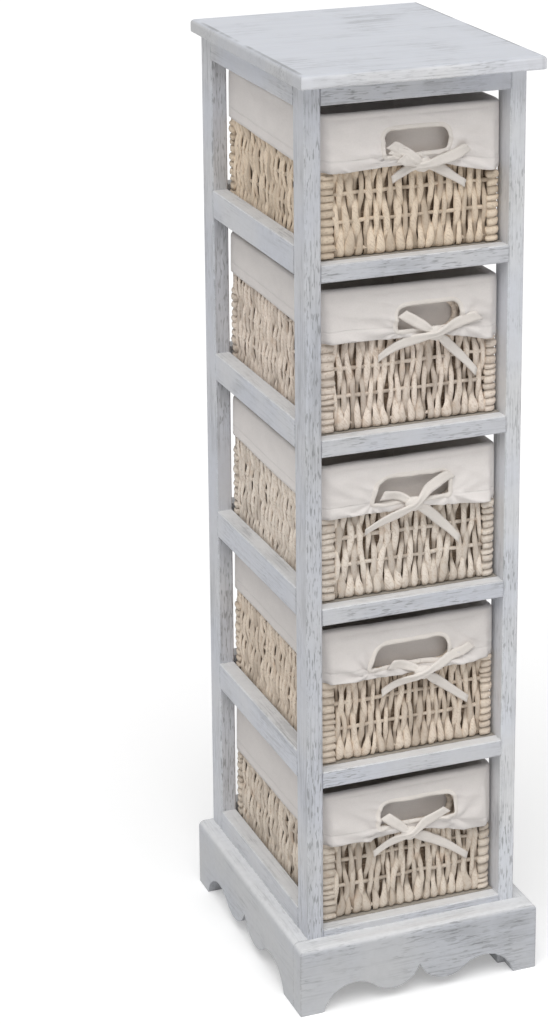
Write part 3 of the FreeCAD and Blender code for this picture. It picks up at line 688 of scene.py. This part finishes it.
def strand(wall, along, phase, high, basket):
    """One husk strand that passes in front of every second wire and behind the others."""
    draw = basket.draw
    seed, tone, girth = draw.uniform(0, 100), draw.uniform(*STRAND_TONES), draw.uniform(*STRAND_GIRTHS)
    loop_size = STRAND_LOOP * draw.uniform(*LOOP_GIRTHS)
    shift = draw.uniform(-1, 1) * ROW_JITTER
    steps = max(2, round((high - STRAND_LOW) / STRAND_STEP))
    for k in range(steps + 1):
        height = mix(STRAND_LOW, high, k / steps)
        row = (height - FIRST_ROW) / ROW_PITCH + shift
        swing = phase * cos(pi * row)
        swing *= 1 + SWING_GAIN - SWING_GAIN * swing**2
        loop = loop_size * max(0, swing) * exp(-(((height - FIRST_ROW) / LOOP_REACH) ** 2))
        # Strands are darker where they pass behind: painted shade
        shade = 1 - BEHIND_SHADE * smooth((-swing - SHADE_START) / SHADE_REACH)
        swing += max(0, BOTTOM_SWING - swing) * smooth(BOTTOM_REACH - height / LOOP_REACH)
        width = STRAND_PITCHES[basket.index] * (STRAND_WIDTH_SHARE + STRAND_SWELL * swing) * girth
        width = width * (1 + WIDTH_RIPPLE * ripple(seed, row * 3, 5)) + loop
        thick = 1 + THICK_SWELL * swing + THICK_RIPPLE * ripple(seed, row * 6, 9)
        turn = STRAND_TURN * ripple(seed, row * 1.6, 0)
        tuck = max(0, TUCK_SHARE * FIRST_ROW - height)
        middle = along + STRAND_WOBBLE * ripple(seed, row * 0.7, 7)
        depth = -WALL / 2 + STRAND_SWING * swing - TUCK_SHARE * tuck
        level, deep = cos(turn), sin(turn)
        ring = []
        for j, (a, b) in enumerate(STRAND_SECTION):
            ridge = 1 + RIDGE_SHARE * ripple(seed + 5.7 * j, row * 1.5, 11)
            x, y = a * width, b * STRAND_THICKNESS * thick * ridge
            ring.append(wall.at(middle + level * x - deep * y, depth + deep * x + level * y, height))
        yield ring, min(1, tone + STRAND_TONE_RIPPLE * ripple(seed, row * 1.4, 3)) * shade


def wire(wall, start, end, height, out, basket):
    """A round, uneven wire along a wall."""
    steps = max(2, round((end - start) / WIRE_STEP))
    places = []
    for k in range(steps + 1):
        along = mix(start, end, k / steps)
        rise = WIRE_WOBBLE * ripple(along * 40, height * 90, basket.number)
        places.append(wall.at(along, out - WALL / 2, height + rise))
    up = upwards(1)
    for k, place in enumerate(places):
        side = direction(places, k).cross(up).normalized()
        girth = WIRE_RADIUS * (1 + WIRE_RIPPLE * ripple(*(place * 170)))
        ring = [place + (side * cos(turn) + up * sin(turn)) * girth for turn in circle(6)]
        # Darker tones than the strands: painted shade
        yield ring, basket.draw.uniform(*WIRE_TONES)


def shade_sheet(wall, left, right, low, high):
    """A thin dark sheet behind the strands that closes the wall: painted shade in the gaps of the weave."""
    near, far = SHADE_SHEET_DEPTHS
    corners = ((left, near), (right, near), (right, far), (left, far))
    for height in (low, high):
        yield [wall.at(along, depth, height) for along, depth in corners], SHADE_SHEET_TONE


def weave_wall(gather, wall, basket, front):
    left = (LEFT_WRAP if front else CORNER_WIDTH) - wall.half_length
    right = wall.half_length - CORNER_WIDTH
    count = round((right - left) / STRAND_PITCHES[basket.index])
    wall_top = basket.height - RIM_HEIGHT
    top = wall_top if front else basket.flap_bottom + HIDDEN_WEAVE
    for k in range(count):
        along = mix(left, right, (k + 0.5) / count)
        edge = hole_edge(along, basket, -1) if front else None
        gather.tube(strand(wall, along, 1 if k % 2 else -1, edge or top, basket))
    half_hole = HOLE_WIDTH / 2
    hole_low, hole_high = hole_edge(0, basket, -1), hole_edge(0, basket, 1)
    for row in range(int((top - FIRST_ROW) / ROW_PITCH) + 1):
        height = FIRST_ROW + row * ROW_PITCH
        runs = [(left, right)]
        if front and hole_low < height < hole_high:
            runs = [(left, -half_hole), (half_hole, right)]
        for start, end in runs:
            gather.tube(wire(wall, start, end, height, WIRE_OUT if row else -WIRE_OUT, basket))
    # Dark sheets behind the strands, round the hand hole: painted shade
    slabs = [(left, right, SHADE_SHEET_LOW, wall_top)]
    if front:
        slabs = [
            (left, -half_hole, SHADE_SHEET_LOW, wall_top),
            (half_hole, right, SHADE_SHEET_LOW, wall_top),
            (-half_hole, half_hole, SHADE_SHEET_LOW, hole_low),
            (-half_hole, half_hole, hole_high, wall_top),
        ]
    for slab in slabs:
        gather.tube(shade_sheet(wall, *slab))


def hole_wrap(wall, basket):
    """The husk-wrapped wire round the hand hole."""
    radius = HOLE_HEIGHT / 2
    straight = HOLE_WIDTH - HOLE_HEIGHT
    length = 2 * straight + tau * radius
    middle = basket.height - HOLE_DROP - radius
    steps = round(length / HOLE_WRAP_PITCH) * HOLE_WRAP_STEPS
    for k in range(steps):
        run = length * k / steps
        half = length / 2
        flip, part = (1, run) if run < half else (-1, run - half)
        if part < straight:
            nx, nz = 0.0, -1.0
            along, up = part - straight / 2, -radius
        else:
            angle = (part - straight) / radius - pi / 2
            nx, nz = cos(angle), sin(angle)
            along, up = straight / 2 + radius * nx, radius * nz
        wrap = run / HOLE_WRAP_PITCH
        girth = HOLE_WRAP_GIRTH + HOLE_WRAP_SWELL * abs(sin(pi * wrap))
        ring = []
        for turn in circle(7):
            reach = HOLE_WRAP_WIDTH * girth * cos(turn)
            depth = HOLE_WRAP_DEPTH * girth * sin(turn) - WALL / 2
            ring.append(wall.at(flip * (along + nx * reach), depth, middle + flip * (up + nz * reach)))
        yield ring, HOLE_TONE + TONE_RIPPLE * ripple(int(wrap) * 3.7, basket.number, 0)


def weave_base(gather, basket):
    """Flat husk strands side by side across the bottom."""
    reach_y = basket.half_y - WALL
    count = round(2 * reach_y / BASE_PITCH)
    for k in range(count):
        middle = reach_y * (2 * (k + 0.5) / count - 1)
        rings = []
        for j in range(BASE_STEPS + 1):
            x = (basket.half_x - WALL) * (2 * j / BASE_STEPS - 1)
            width = 2 * reach_y / count * (1 + BASE_RIPPLE * ripple(k * 3.1, j, basket.number))
            section = [(middle + a * width, BASE_HEIGHT / 2 - b * BASE_HEIGHT) for a, b in STRAND_SECTION]
            tone = HIDDEN_TONE + TONE_RIPPLE * ripple(k * 5.3, j * 0.3, basket.number)
            rings.append(([Vector((x, *place)) for place in section], tone))
        gather.tube(rings)


def make_weave(basket):
    gather = Gatherer()
    for index, wall in enumerate(basket.walls):
        weave_wall(gather, wall, basket, index == 0)
    gather.tube(hole_wrap(basket.walls[0], basket), closed=True)
    weave_base(gather, basket)
    piece = gather.piece(basket.name("strands"), basket.origin, HUSK[basket.index])
    basket.wear(piece, "weave", "husk_weave")


# Husk-wrapped corners and rim


def corner_outline(wide):
    """An L round the corner: how far each point lies in from both sides, and its outward direction."""
    arc = []
    for k in range(5):
        angle = pi / 8 * k
        nx, ny = -sin(angle), -cos(angle)
        arc.append((WRAP_ROUND * (1 + nx), WRAP_ROUND * (1 + ny), nx, ny))
    return [
        (wide, 0, END_LEAN, -1), *arc, (0, CORNER_WIDTH, -1, END_LEAN),
        (WALL, CORNER_WIDTH, END_LEAN, INNER_LEAN), (WALL, WALL, 0, 0), (wide, WALL, INNER_LEAN, END_LEAN),
    ]


def wrap_edges(draw, total):
    """Heights where one wrap ends and the next begins."""
    sizes = [draw.uniform(*WRAP_SIZES) for _ in range(round(total / WRAP_HEIGHT))]
    edges = [0.0]
    for size in sizes:
        edges.append(edges[-1] + size * total / sum(sizes))
    return edges


def corner_wraps(basket, side, end):
    """Husk wraps one over the other round a corner, pressed flat under the liner's hem."""
    draw, top = basket.draw, basket.height - RIM_HEIGHT
    wide = LEFT_WRAP if side < 0 and end < 0 else CORNER_WIDTH
    outline = corner_outline(wide)
    edges = wrap_edges(draw, top)
    hem_share = HEM_SHARES[basket.index][side + 1] if end < 0 else 1
    hem = basket.liner_top - FLAP_DROP * hem_share
    for low, high in zip(edges, edges[1:]):
        tone, tilt = draw.uniform(*WRAP_TONES), draw.uniform(*WRAP_LEANS) * WRAP_TILT
        size, reach = draw.uniform(*WRAP_GIRTHS), draw.uniform(-1, 1) * WRAP_REACH
        calm = smooth(low / WRAP_CALM_REACH) * smooth((top - high) / WRAP_CALM_REACH)
        for share, bulge in WRAP_PROFILE:
            height = mix(low, high, share)
            bare = smooth((hem - height) / WRAP_HEM_REACH)
            out = WRAP_BULGE * (bulge * size * bare - WRAP_SINK)
            ring = []
            for x, y, nx, ny in outline:
                lift = calm * tilt * (x - y) / (2 * CORNER_WIDTH)
                more_x = reach * bulge if x == wide else 0
                more_y = reach * bulge if y == CORNER_WIDTH else 0
                lump = WRAP_LUMP * ripple(x * 300 + tilt * 9000, y * 300, low * 900 + share * 2)
                push = out + lump * bare
                ring.append(Vector((
                    side * (basket.half_x - x - more_x - nx * push),
                    end * (basket.half_y - y - more_y - ny * push),
                    height + lift + calm * lump,
                )))
            # Each wrap is darker towards its upper and lower edges: painted shade between the wraps
            yield ring, tone - WRAP_SHADE * (1 - bulge)


def rim(basket):
    middle = basket.height - RIM_HEIGHT / 2
    for k, (centre, out) in enumerate(perimeter(basket, [], RIM_STEP)):
        girth = RIM_GIRTH + RIM_SWELL * cos(pi * k)
        ring = []
        for turn in circle(RIM_SIDES):
            turn += pi / RIM_SIDES
            reach = CORNER_ROUND - WALL / 2 + WALL / 2 * girth * cos(turn)
            height = middle + RIM_HEIGHT / 2 * girth * sin(turn)
            ring.append(centre + out * reach + upwards(height))
        yield ring, HIDDEN_TONE + TONE_RIPPLE * ripple(k * 1.7, basket.number, 5)


def make_wraps(basket):
    gather = Gatherer()
    for side in (-1, 1):
        for end in (-1, 1):
            gather.tube(corner_wraps(basket, side, end))
    gather.tube(rim(basket), closed=True)
    piece = gather.piece(basket.name("wraps"), basket.origin, HUSK[basket.index])
    basket.wear(piece, "frame", "husk_wrap")


# Cotton liners


def perimeter(basket, front_places, step):
    """Places round the basket from the front's left end, each a point a corner radius in from the outer face
    and the direction outwards."""
    inner_x, inner_y = basket.half_x - CORNER_ROUND, basket.half_y - CORNER_ROUND
    corners = [Vector((x * inner_x, y * inner_y, 0)) for x, y in CORNER_SIGNS]
    columns = []
    for side in range(4):
        start, end = corners[side], corners[(side + 1) % 4]
        out = basket.walls[side].out
        steps = max(2, round((end - start).length / step))
        shares = [k / steps for k in range(steps + 1)]
        if side == 0 and front_places:
            shares = [(x + inner_x) / (2 * inner_x) for x in front_places]
        columns += [(start.lerp(end, share), out) for share in shares]
        for k in range(1, CORNER_STEPS):
            turn = radians(90 / CORNER_STEPS * k)
            columns.append((end, Quaternion((0, 0, 1), turn) @ out))
    return columns


def rounded_path(corners):
    """Points along lines through corners (x, z, radius), with each corner rounded."""
    path = [Vector(corners[0][:2])]
    for before, (x, z, radius), after in zip(corners, corners[1:], corners[2:]):
        corner = Vector((x, z))
        back = Vector(before[:2]) - corner
        ahead = Vector(after[:2]) - corner
        reach = min(radius, ROUND_LIMIT * back.length, ROUND_LIMIT * ahead.length)
        first, last = corner + back.normalized() * reach, corner + ahead.normalized() * reach
        for k in range(ROUND_STEPS + 1):
            t = k / ROUND_STEPS
            path.append(first * (1 - t) ** 2 + corner * 2 * t * (1 - t) + last * t**2)
    return path + [Vector(corners[-1][:2])]


def even_points(path, count):
    """The path's points spread evenly over count + 1 places."""
    runs = [0.0]
    for start, end in zip(path, path[1:]):
        runs.append(runs[-1] + (end - start).length)
    points, at = [], 0
    for k in range(count + 1):
        want = runs[-1] * k / count
        while at < len(runs) - 2 and runs[at + 1] < want:
            at += 1
        length = runs[at + 1] - runs[at]
        points.append(path[at].lerp(path[at + 1], (want - runs[at]) / length if length else 0))
    return points


class Liner:
    """The cloth of one basket: a flap with a notch in front, a turn over the rim, a sleeve and a base."""

    SIDE_STEPS = 13
    TOP_STEPS = 58
    BAND_STEPS = 17
    SLEEVE_STEPS = 9
    STEP = 0.0055
    BAND_POWER = 1.2
    BASE_SHARES = (0.8, 0.55, 0.3)

    def __init__(self, basket):
        self.basket = basket
        self.shell = bmesh.new()
        self.hem_layer = self.shell.verts.layers.float.new("hem")
        self.flap_top = basket.liner_top - CLOTH / 2 - TURN_DROP
        self.inner_x = basket.half_x - CORNER_ROUND
        width = 2 * basket.half_x
        self.notch_left, self.notch_right = (width * share for share in NOTCH_SHARES[basket.index])
        knot_across, knot_down = TIE_SHARES[basket.index][0]
        self.knot = Vector((width * knot_across, basket.liner_top - FLAP_DROP * knot_down))
        self.seed = basket.number * 11.3

    def hem_height(self, point):
        """Where the hem hangs at a place on the outside, a little uneven."""
        basket = self.basket
        left, knot, right = (basket.liner_top - FLAP_DROP * share for share in HEM_SHARES[basket.index])
        if point.y < -basket.half_y:
            end, end_x = (left, -self.inner_x) if point.x < self.knot.x else (right, self.inner_x)
            height = mix(knot, end, smooth((point.x - self.knot.x) / (end_x - self.knot.x)))
        else:
            end = left if point.x < 0 else right
            back = point.y + basket.half_y
            near, far = SIDE_RISES[basket.index]
            side = basket.flap_bottom + mix(near, far, min(1, back / (2 * basket.half_y)))
            height = mix(end, side, smooth(back / SIDE_HEM_REACH))
        return height + HEM_WAVE * ripple(point.x * 26, point.y * 26, self.seed)

    def lift(self, point):
        """How far the cloth stands up over the rim."""
        left, right = RIM_LIFTS[self.basket.index]
        ruffle = RIM_RUFFLE * (1 + ripple(point.x * 30, point.y * 30, self.seed)) / 2
        return mix(left, right, smooth(0.5 + point.x / (2 * self.basket.half_x))) + ruffle

    def drape(self, point, out):
        """Moves a point of the flap outwards into soft creases that start under the rim."""
        x, y, z = point
        fall = sqrt(min(1, max(0, (self.flap_top - z) / FLAP_DROP)))
        soft = 1 + ripple(x * 12 + z * 9, y * 12 + self.seed, z * 34 - x * 6)
        ridge = abs(ripple(x * 18 + self.seed, y * 18, z * 60 + x * 16))
        crease = max(0, 1 - CREASE_STEEPNESS * ridge) ** CREASE_POWER
        up = (z - self.hem_height(point)) / HEM_WIDTH
        puff = sqrt(max(0, 1 - (2 * up - 1) ** 2))
        swell = SOFT_SWELL * soft + CREASE_SWELL * crease + HEM_SWELL * puff
        if out.y > -0.99:
            return point + out * (fall * swell * SIDE_CALM)
        for corner_x, spread in zip((self.notch_left, self.notch_right), FOLD_SPREADS):
            away = Vector((x - corner_x, z - self.knot.y - FOLD_RISE))
            fold = (1 + cos(spread * atan2(away.y, away.x) + self.seed)) / 2
            fold *= FOLD_SWELLS[self.basket.index] * smooth(away.length / FOLD_START)
            swell += fold * exp(-away.length / FOLD_REACH)
        return point + out * (fall * swell)

    def vert(self, point, hem=NO_HEM):
        vert = self.shell.verts.new(point)
        vert[self.hem_layer] = hem
        return vert

    def patch(self, rows):
        for upper, lower in zip(rows, rows[1:]):
            for k in range(len(upper) - 1):
                self.shell.faces.new((upper[k], upper[k + 1], lower[k + 1], lower[k]))

    def outside(self, x):
        return Vector((x, -self.basket.half_y - FLAP_OFFSET, 0))

    def notch_path(self):
        """The front flap's cut edge, from under the knot round the notch and back."""
        spare = BINDING_WIDTH / 4
        low = self.basket.flap_bottom + NOTCH_STRIP - NOTCH_LOW_DROP
        high = self.basket.liner_top - NOTCH_DROP + spare
        left, right = self.notch_left - spare, self.notch_right + spare
        start = (self.knot.x, low + NOTCH_LOW_DROP, 0)
        lean = NOTCH_LEANS[self.basket.index]
        corners = [
            (left, low, NOTCH_LOW_ROUND),
            (left + lean, high, NOTCH_ROUND),
            (right, high, NOTCH_ROUND),
            (right, low, NOTCH_ENDS[self.basket.index]),
        ]
        return rounded_path([start, *corners, start])

    def front_point(self, x, z):
        return self.drape(self.outside(x) + upwards(z), Vector((0, -1, 0)))

    def surface(self, x, z):
        """The cloth's outer face at a place in front, and the woven wall's some way under the hem."""
        point = self.front_point(x, z)
        bare = smooth((self.hem_height(self.outside(x)) - z) / HANG_REACH)
        point.y += (-self.basket.half_y - point.y) * bare - CLOTH / 2
        return point

    def front_flap(self):
        """A band of cloth between the notch and the flap's outline."""
        across = [self.inner_x * (2 * k / self.TOP_STEPS - 1) for k in range(self.TOP_STEPS + 1)]
        top = [Vector((x, self.flap_top + self.lift(self.outside(x)))) for x in across]
        hem = [Vector((x, self.hem_height(self.outside(x)))) for x in across]
        shares = [k / self.SIDE_STEPS for k in range(self.SIDE_STEPS + 1)]
        rise = [hem[0].lerp(top[0], share) for share in shares[:-1]]
        fall = [top[-1].lerp(hem[-1], share) for share in shares[1:]]
        half = len(hem) // 2
        outline = hem[half:0:-1] + rise + top + fall + hem[-2:half - 1:-1]
        inner = even_points(self.notch_path(), len(outline) - 1)
        rows = []
        for k in range(self.BAND_STEPS + 1):
            share = (k / self.BAND_STEPS) ** self.BAND_POWER
            row = []
            for near, far in zip(inner, outline):
                spot = near.lerp(far, share)
                over_hem = spot.y - self.hem_height(self.outside(spot.x))
                row.append(self.vert(self.front_point(spot.x, spot.y), over_hem))
            rows.append(row)
        self.patch(rows)
        return across, inner

    def column(self, centre, out, offset, height):
        return centre + out * (CORNER_ROUND + offset) + upwards(height)

    def over_rim(self, ring):
        """Rows of cloth from the flaps over the rim."""
        for share, rise in TURN_SHARES:
            offset = mix(FLAP_OFFSET, SLEEVE_OFFSET, share)
            row = []
            for centre, out in ring:
                top = self.flap_top + self.lift(self.column(centre, out, FLAP_OFFSET, 0))
                row.append(self.vert(self.column(centre, out, offset, top + TURN_DROP * rise)))
            yield row

    def sleeve(self, ring, tops):
        """Rows of cloth down the inside, and over the base to its middle."""
        floor = WALL + FLAP_OFFSET
        rows = []
        for k in range(1, self.SLEEVE_STEPS + 1):
            share = k / self.SLEEVE_STEPS
            row = []
            for (centre, out), top in zip(ring, tops):
                point = self.column(centre, out, SLEEVE_OFFSET, mix(top, floor, share))
                loose = 1 + ripple(point.x * 25, point.y * 25, point.z * 25 + self.seed)
                inward = SLEEVE_SWELL * sin(pi * share) * loose
                row.append(self.vert(point - out * inward))
            rows.append(row)
        edge = [vert.co.copy() for vert in rows[-1]]
        for share in self.BASE_SHARES:
            row = []
            for place in edge:
                loose = 1 + ripple(place.x * share * 30, place.y * share * 30, self.seed)
                spot = Vector((place.x * share, place.y * share, floor + CLOTH / 2 * loose))
                row.append(self.vert(spot))
            rows.append(row)
        middle = self.vert(upwards(floor))
        for first, second in zip(rows[-1], rows[-1][1:]):
            self.shell.faces.new((first, second, middle))
        return rows

    def side_flaps(self, ring):
        """Rows of cloth down the sides and the back."""
        for k in range(self.SIDE_STEPS + 1):
            row = []
            for centre, out in ring:
                base = self.column(centre, out, FLAP_OFFSET, 0)
                top, hem = self.flap_top + self.lift(base), self.hem_height(base)
                base.z = mix(top, hem, k / self.SIDE_STEPS)
                row.append(self.vert(self.drape(base, out), base.z - hem))
            yield row

    def piece(self):
        front_places, self.notch_edge = self.front_flap()
        columns = perimeter(self.basket, front_places, self.STEP)
        ring = columns + columns[:1]
        rows = list(self.over_rim(ring))
        rows += self.sleeve(ring, [vert.co.z for vert in rows[-1]])
        self.patch(rows)
        self.patch(list(self.side_flaps(columns[len(front_places) - 1 :] + columns[:1])))
        bmesh.ops.remove_doubles(self.shell, verts=self.shell.verts, dist=SEAM_GAP)
        bmesh.ops.translate(self.shell, verts=self.shell.verts, vec=self.basket.origin)
        mesh = bpy.data.meshes.new(self.basket.name("cloth"))
        self.shell.to_mesh(mesh)
        self.shell.free()
        piece = as_piece(mesh, COTTON[self.basket.index])
        thicken = piece.modifiers.new("thickness", "SOLIDIFY")
        thicken.thickness = CLOTH
        thicken.offset = 0
        return piece


def bound_edge(liner):
    """The binding round the notch."""
    path = liner.notch_edge
    for k, spot in enumerate(path):
        run = direction(path, k)
        across = Vector((-run.y, run.x))
        ring = []
        for turn in circle(8):
            off = across * (cos(turn) * BINDING_WIDTH / 2)
            point = liner.front_point(spot.x + off.x, spot.y + off.y)
            point.y -= sin(turn) * BINDING_THICKNESS / 2
            ring.append(point)
        yield ring, CLOTH_TONE


def make_binding(basket, liner):
    gather = Gatherer()
    gather.tube(bound_edge(liner))
    piece = gather.piece(basket.name("binding"), basket.origin, TAPE)
    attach(piece, basket.body)
    return piece


def make_liner(basket):
    liner = Liner(basket)
    piece = liner.piece()
    basket.wear(piece, "liner", "liner_cotton")
    binding = make_binding(basket, liner)
    near, far = SIDE_RISES[basket.index]
    basket.name("frame")
    return liner


# Ties


def add_tape(gather, spots, knot, tail, draw):
    """A soft tape through spots, pinched in the knot, cut aslant at its ends and narrower at its tail."""
    path = even_points(smooth_path(spots), TAPE_STEPS)
    seed = draw.uniform(0, 100)
    rings = []
    for k, place in enumerate(path):
        share = k / TAPE_STEPS
        run = direction(path, k)
        pinch = exp(-(((place - knot).length / PINCH_REACH) ** 2))
        roll = TAPE_ROLL * ripple(seed, share * 3, 0) * (1 - pinch)
        across = Quaternion(run, roll) @ run.cross(Vector((0, -1, 0))).normalized()
        out = across.cross(run).normalized()
        half = TAPE_WIDTH / 2 * (1 - PINCH_SHARE * pinch)
        half *= 1 + TAPE_RIPPLE * ripple(seed, share * 5, 4)
        half *= 1 if tail is None else 1 - TAIL_TAPER * smooth(1 - abs(share - tail) * TAIL_STEEPNESS)
        thick = TAPE_THICKNESS / 2 * (1 + PINCH_THICK * pinch)
        side = Vector((across.x, 0, across.z)) * (TAPE_WAVE * ripple(seed, share * 4, 8) * (1 - pinch))
        middle = place + side - Vector((0, half * abs(sin(roll)) * ROLL_OFF, 0))
        ends = smooth(share * SLANT_STEEPNESS) - smooth((1 - share) * SLANT_STEEPNESS)
        slant = run * (TAPE_SLANT * half * ends)
        rings.append([middle + (across * half + slant) * a + out * (b * thick) for a, b in TAPE_SECTION])
    gather.tube((ring, CLOTH_TONE) for ring in rings)
    return sum((after - place).length for place, after in zip(path, path[1:]))


def smooth_path(spots):
    """A smooth line through spots."""
    line = []
    for k in range(len(spots) - 1):
        before, start = spots[max(k - 1, 0)], spots[k]
        end, after = spots[k + 1], spots[min(k + 2, len(spots) - 1)]
        for j in range(PATH_STEPS):
            t = j / PATH_STEPS
            line.append(0.5 * (
                2 * start + (end - before) * t + (2 * before - 5 * start + 4 * end - after) * t**2
                + (3 * start - before - 3 * end + after) * t**3
            ))
    return line + [spots[-1]]


def tied_knot(centre):
    for k in range(1, KNOT_STEPS):
        up = pi * k / KNOT_STEPS
        ring = []
        for turn in circle(16):
            girth = sin(up) * (1 + KNOT_FOLD * cos(5 * turn + 2 * up))
            place = Vector((girth * cos(turn), girth * sin(turn), cos(up) * (1 + KNOT_WAVE * sin(3 * turn))))
            ring.append(centre + place * KNOT_SIZE)
        yield ring, CLOTH_TONE


def make_tie(basket, liner):
    gather = Gatherer()
    width = 2 * basket.half_x

    def spot(shares, off):
        place = liner.surface(width * shares[0], basket.liner_top - FLAP_DROP * shares[1])
        return place - Vector((0, off, 0))

    def half_tape(end, lift, bow):
        """Spots from one end of a tape to the knot."""
        spots = []
        for k in range(ARM_STEPS + 1):
            share = k / ARM_STEPS
            along = [mix(start, stop, share) for start, stop in zip(end, knot)]
            off = mix(TAPE_OFF, lift, smooth(2 * share - 1))
            spots.append(spot(along, off) + upwards(bow * sin(pi * share)))
        return spots

    knot, left_arm, right_arm, left_tail, right_tail = TIE_SHARES[basket.index]
    centre = spot(knot, KNOT_OFF)
    tapes = [(left_tail, right_arm, OVER_OFF, 0), (left_arm, right_tail, UNDER_OFF, 1)]
    if basket.number == 1:
        tapes += [(end, None, UNDER_OFF, None) for end in FAN_SHARES]
    length = 0.0
    for first, last, lift, tail in tapes:
        spots = half_tape(first, lift, basket.draw.uniform(-1, 1) * TAPE_BOW)
        if last:
            spots += half_tape(last, lift, basket.draw.uniform(-1, 1) * TAPE_BOW)[-2::-1]
        length += add_tape(gather, spots, centre, tail, basket.draw)
    gather.tube(tied_knot(centre))
    piece = gather.piece(basket.name("tapes"), basket.origin, TAPE)
    basket.wear(piece, "tie", "tie_cotton")
    basket.name("liner")


# Camera, light and floor


def add_camera():
    camera = add_object("camera", bpy.data.cameras.new("camera"))
    yaw, pitch, roll = (radians(angle) for angle in YAW_PITCH_ROLL)
    ahead = Vector((sin(yaw) * cos(pitch), cos(yaw) * cos(pitch), sin(pitch)))
    camera.location = CAMERA_PLACE
    camera.rotation_mode = "QUATERNION"
    camera.rotation_quaternion = ahead.to_track_quat("-Z", "Y") @ Quaternion((0, 0, 1), roll)
    camera.data.lens = CAMERA_LENS
    camera.data.sensor_width = SENSOR_WIDTH
    camera.data.shift_x, camera.data.shift_y = CAMERA_SHIFT
    camera.data.clip_end = CAMERA_REACH
    bpy.context.scene.camera = camera


def add_key():
    lamp = add_object("key", bpy.data.lights.new("key", "SUN"))
    lamp.location = KEY_PLACE
    lamp.rotation_mode = "QUATERNION"
    lamp.rotation_quaternion = (KEY_TARGET - KEY_PLACE).to_track_quat("-Z", "Y")
    lamp.data.angle = radians(KEY_SPREAD)
    lamp.data.energy = KEY_POWER


def add_world():
    world = bpy.data.worlds.new("studio")
    bpy.context.scene.world = world
    paint = Paint(world, "Background")
    strength = paint.between(paint.seen(), 0.0, 1.0, SKY_STRENGTH, 1.0)
    paint.feed({"Color": (1, 1, 1, 1), "Strength": strength})


def add_floor():
    mesh = bpy.data.meshes.new("floor")
    corners = [(x * FLOOR_HALF, y * FLOOR_HALF, 0) for x, y in CORNER_SIGNS]
    mesh.from_pydata(corners, [], [(0, 1, 2, 3)])
    floor = add_object("floor", mesh)
    mesh.materials.append(pale_floor())
    floor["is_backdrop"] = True


dress_frame()
for number in range(1, BASKETS + 1):
    basket = Basket(number)
    make_weave(basket)
    make_wraps(basket)
    make_tie(basket, make_liner(basket))

add_camera()
add_world()
add_key()
add_floor()
bpy.context.scene.view_settings.view_transform = "Standard"

boxes = {"cad": cad_box, "visual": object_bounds()}
{name: [list(corner) for corner in box] for name, box in boxes.items()}
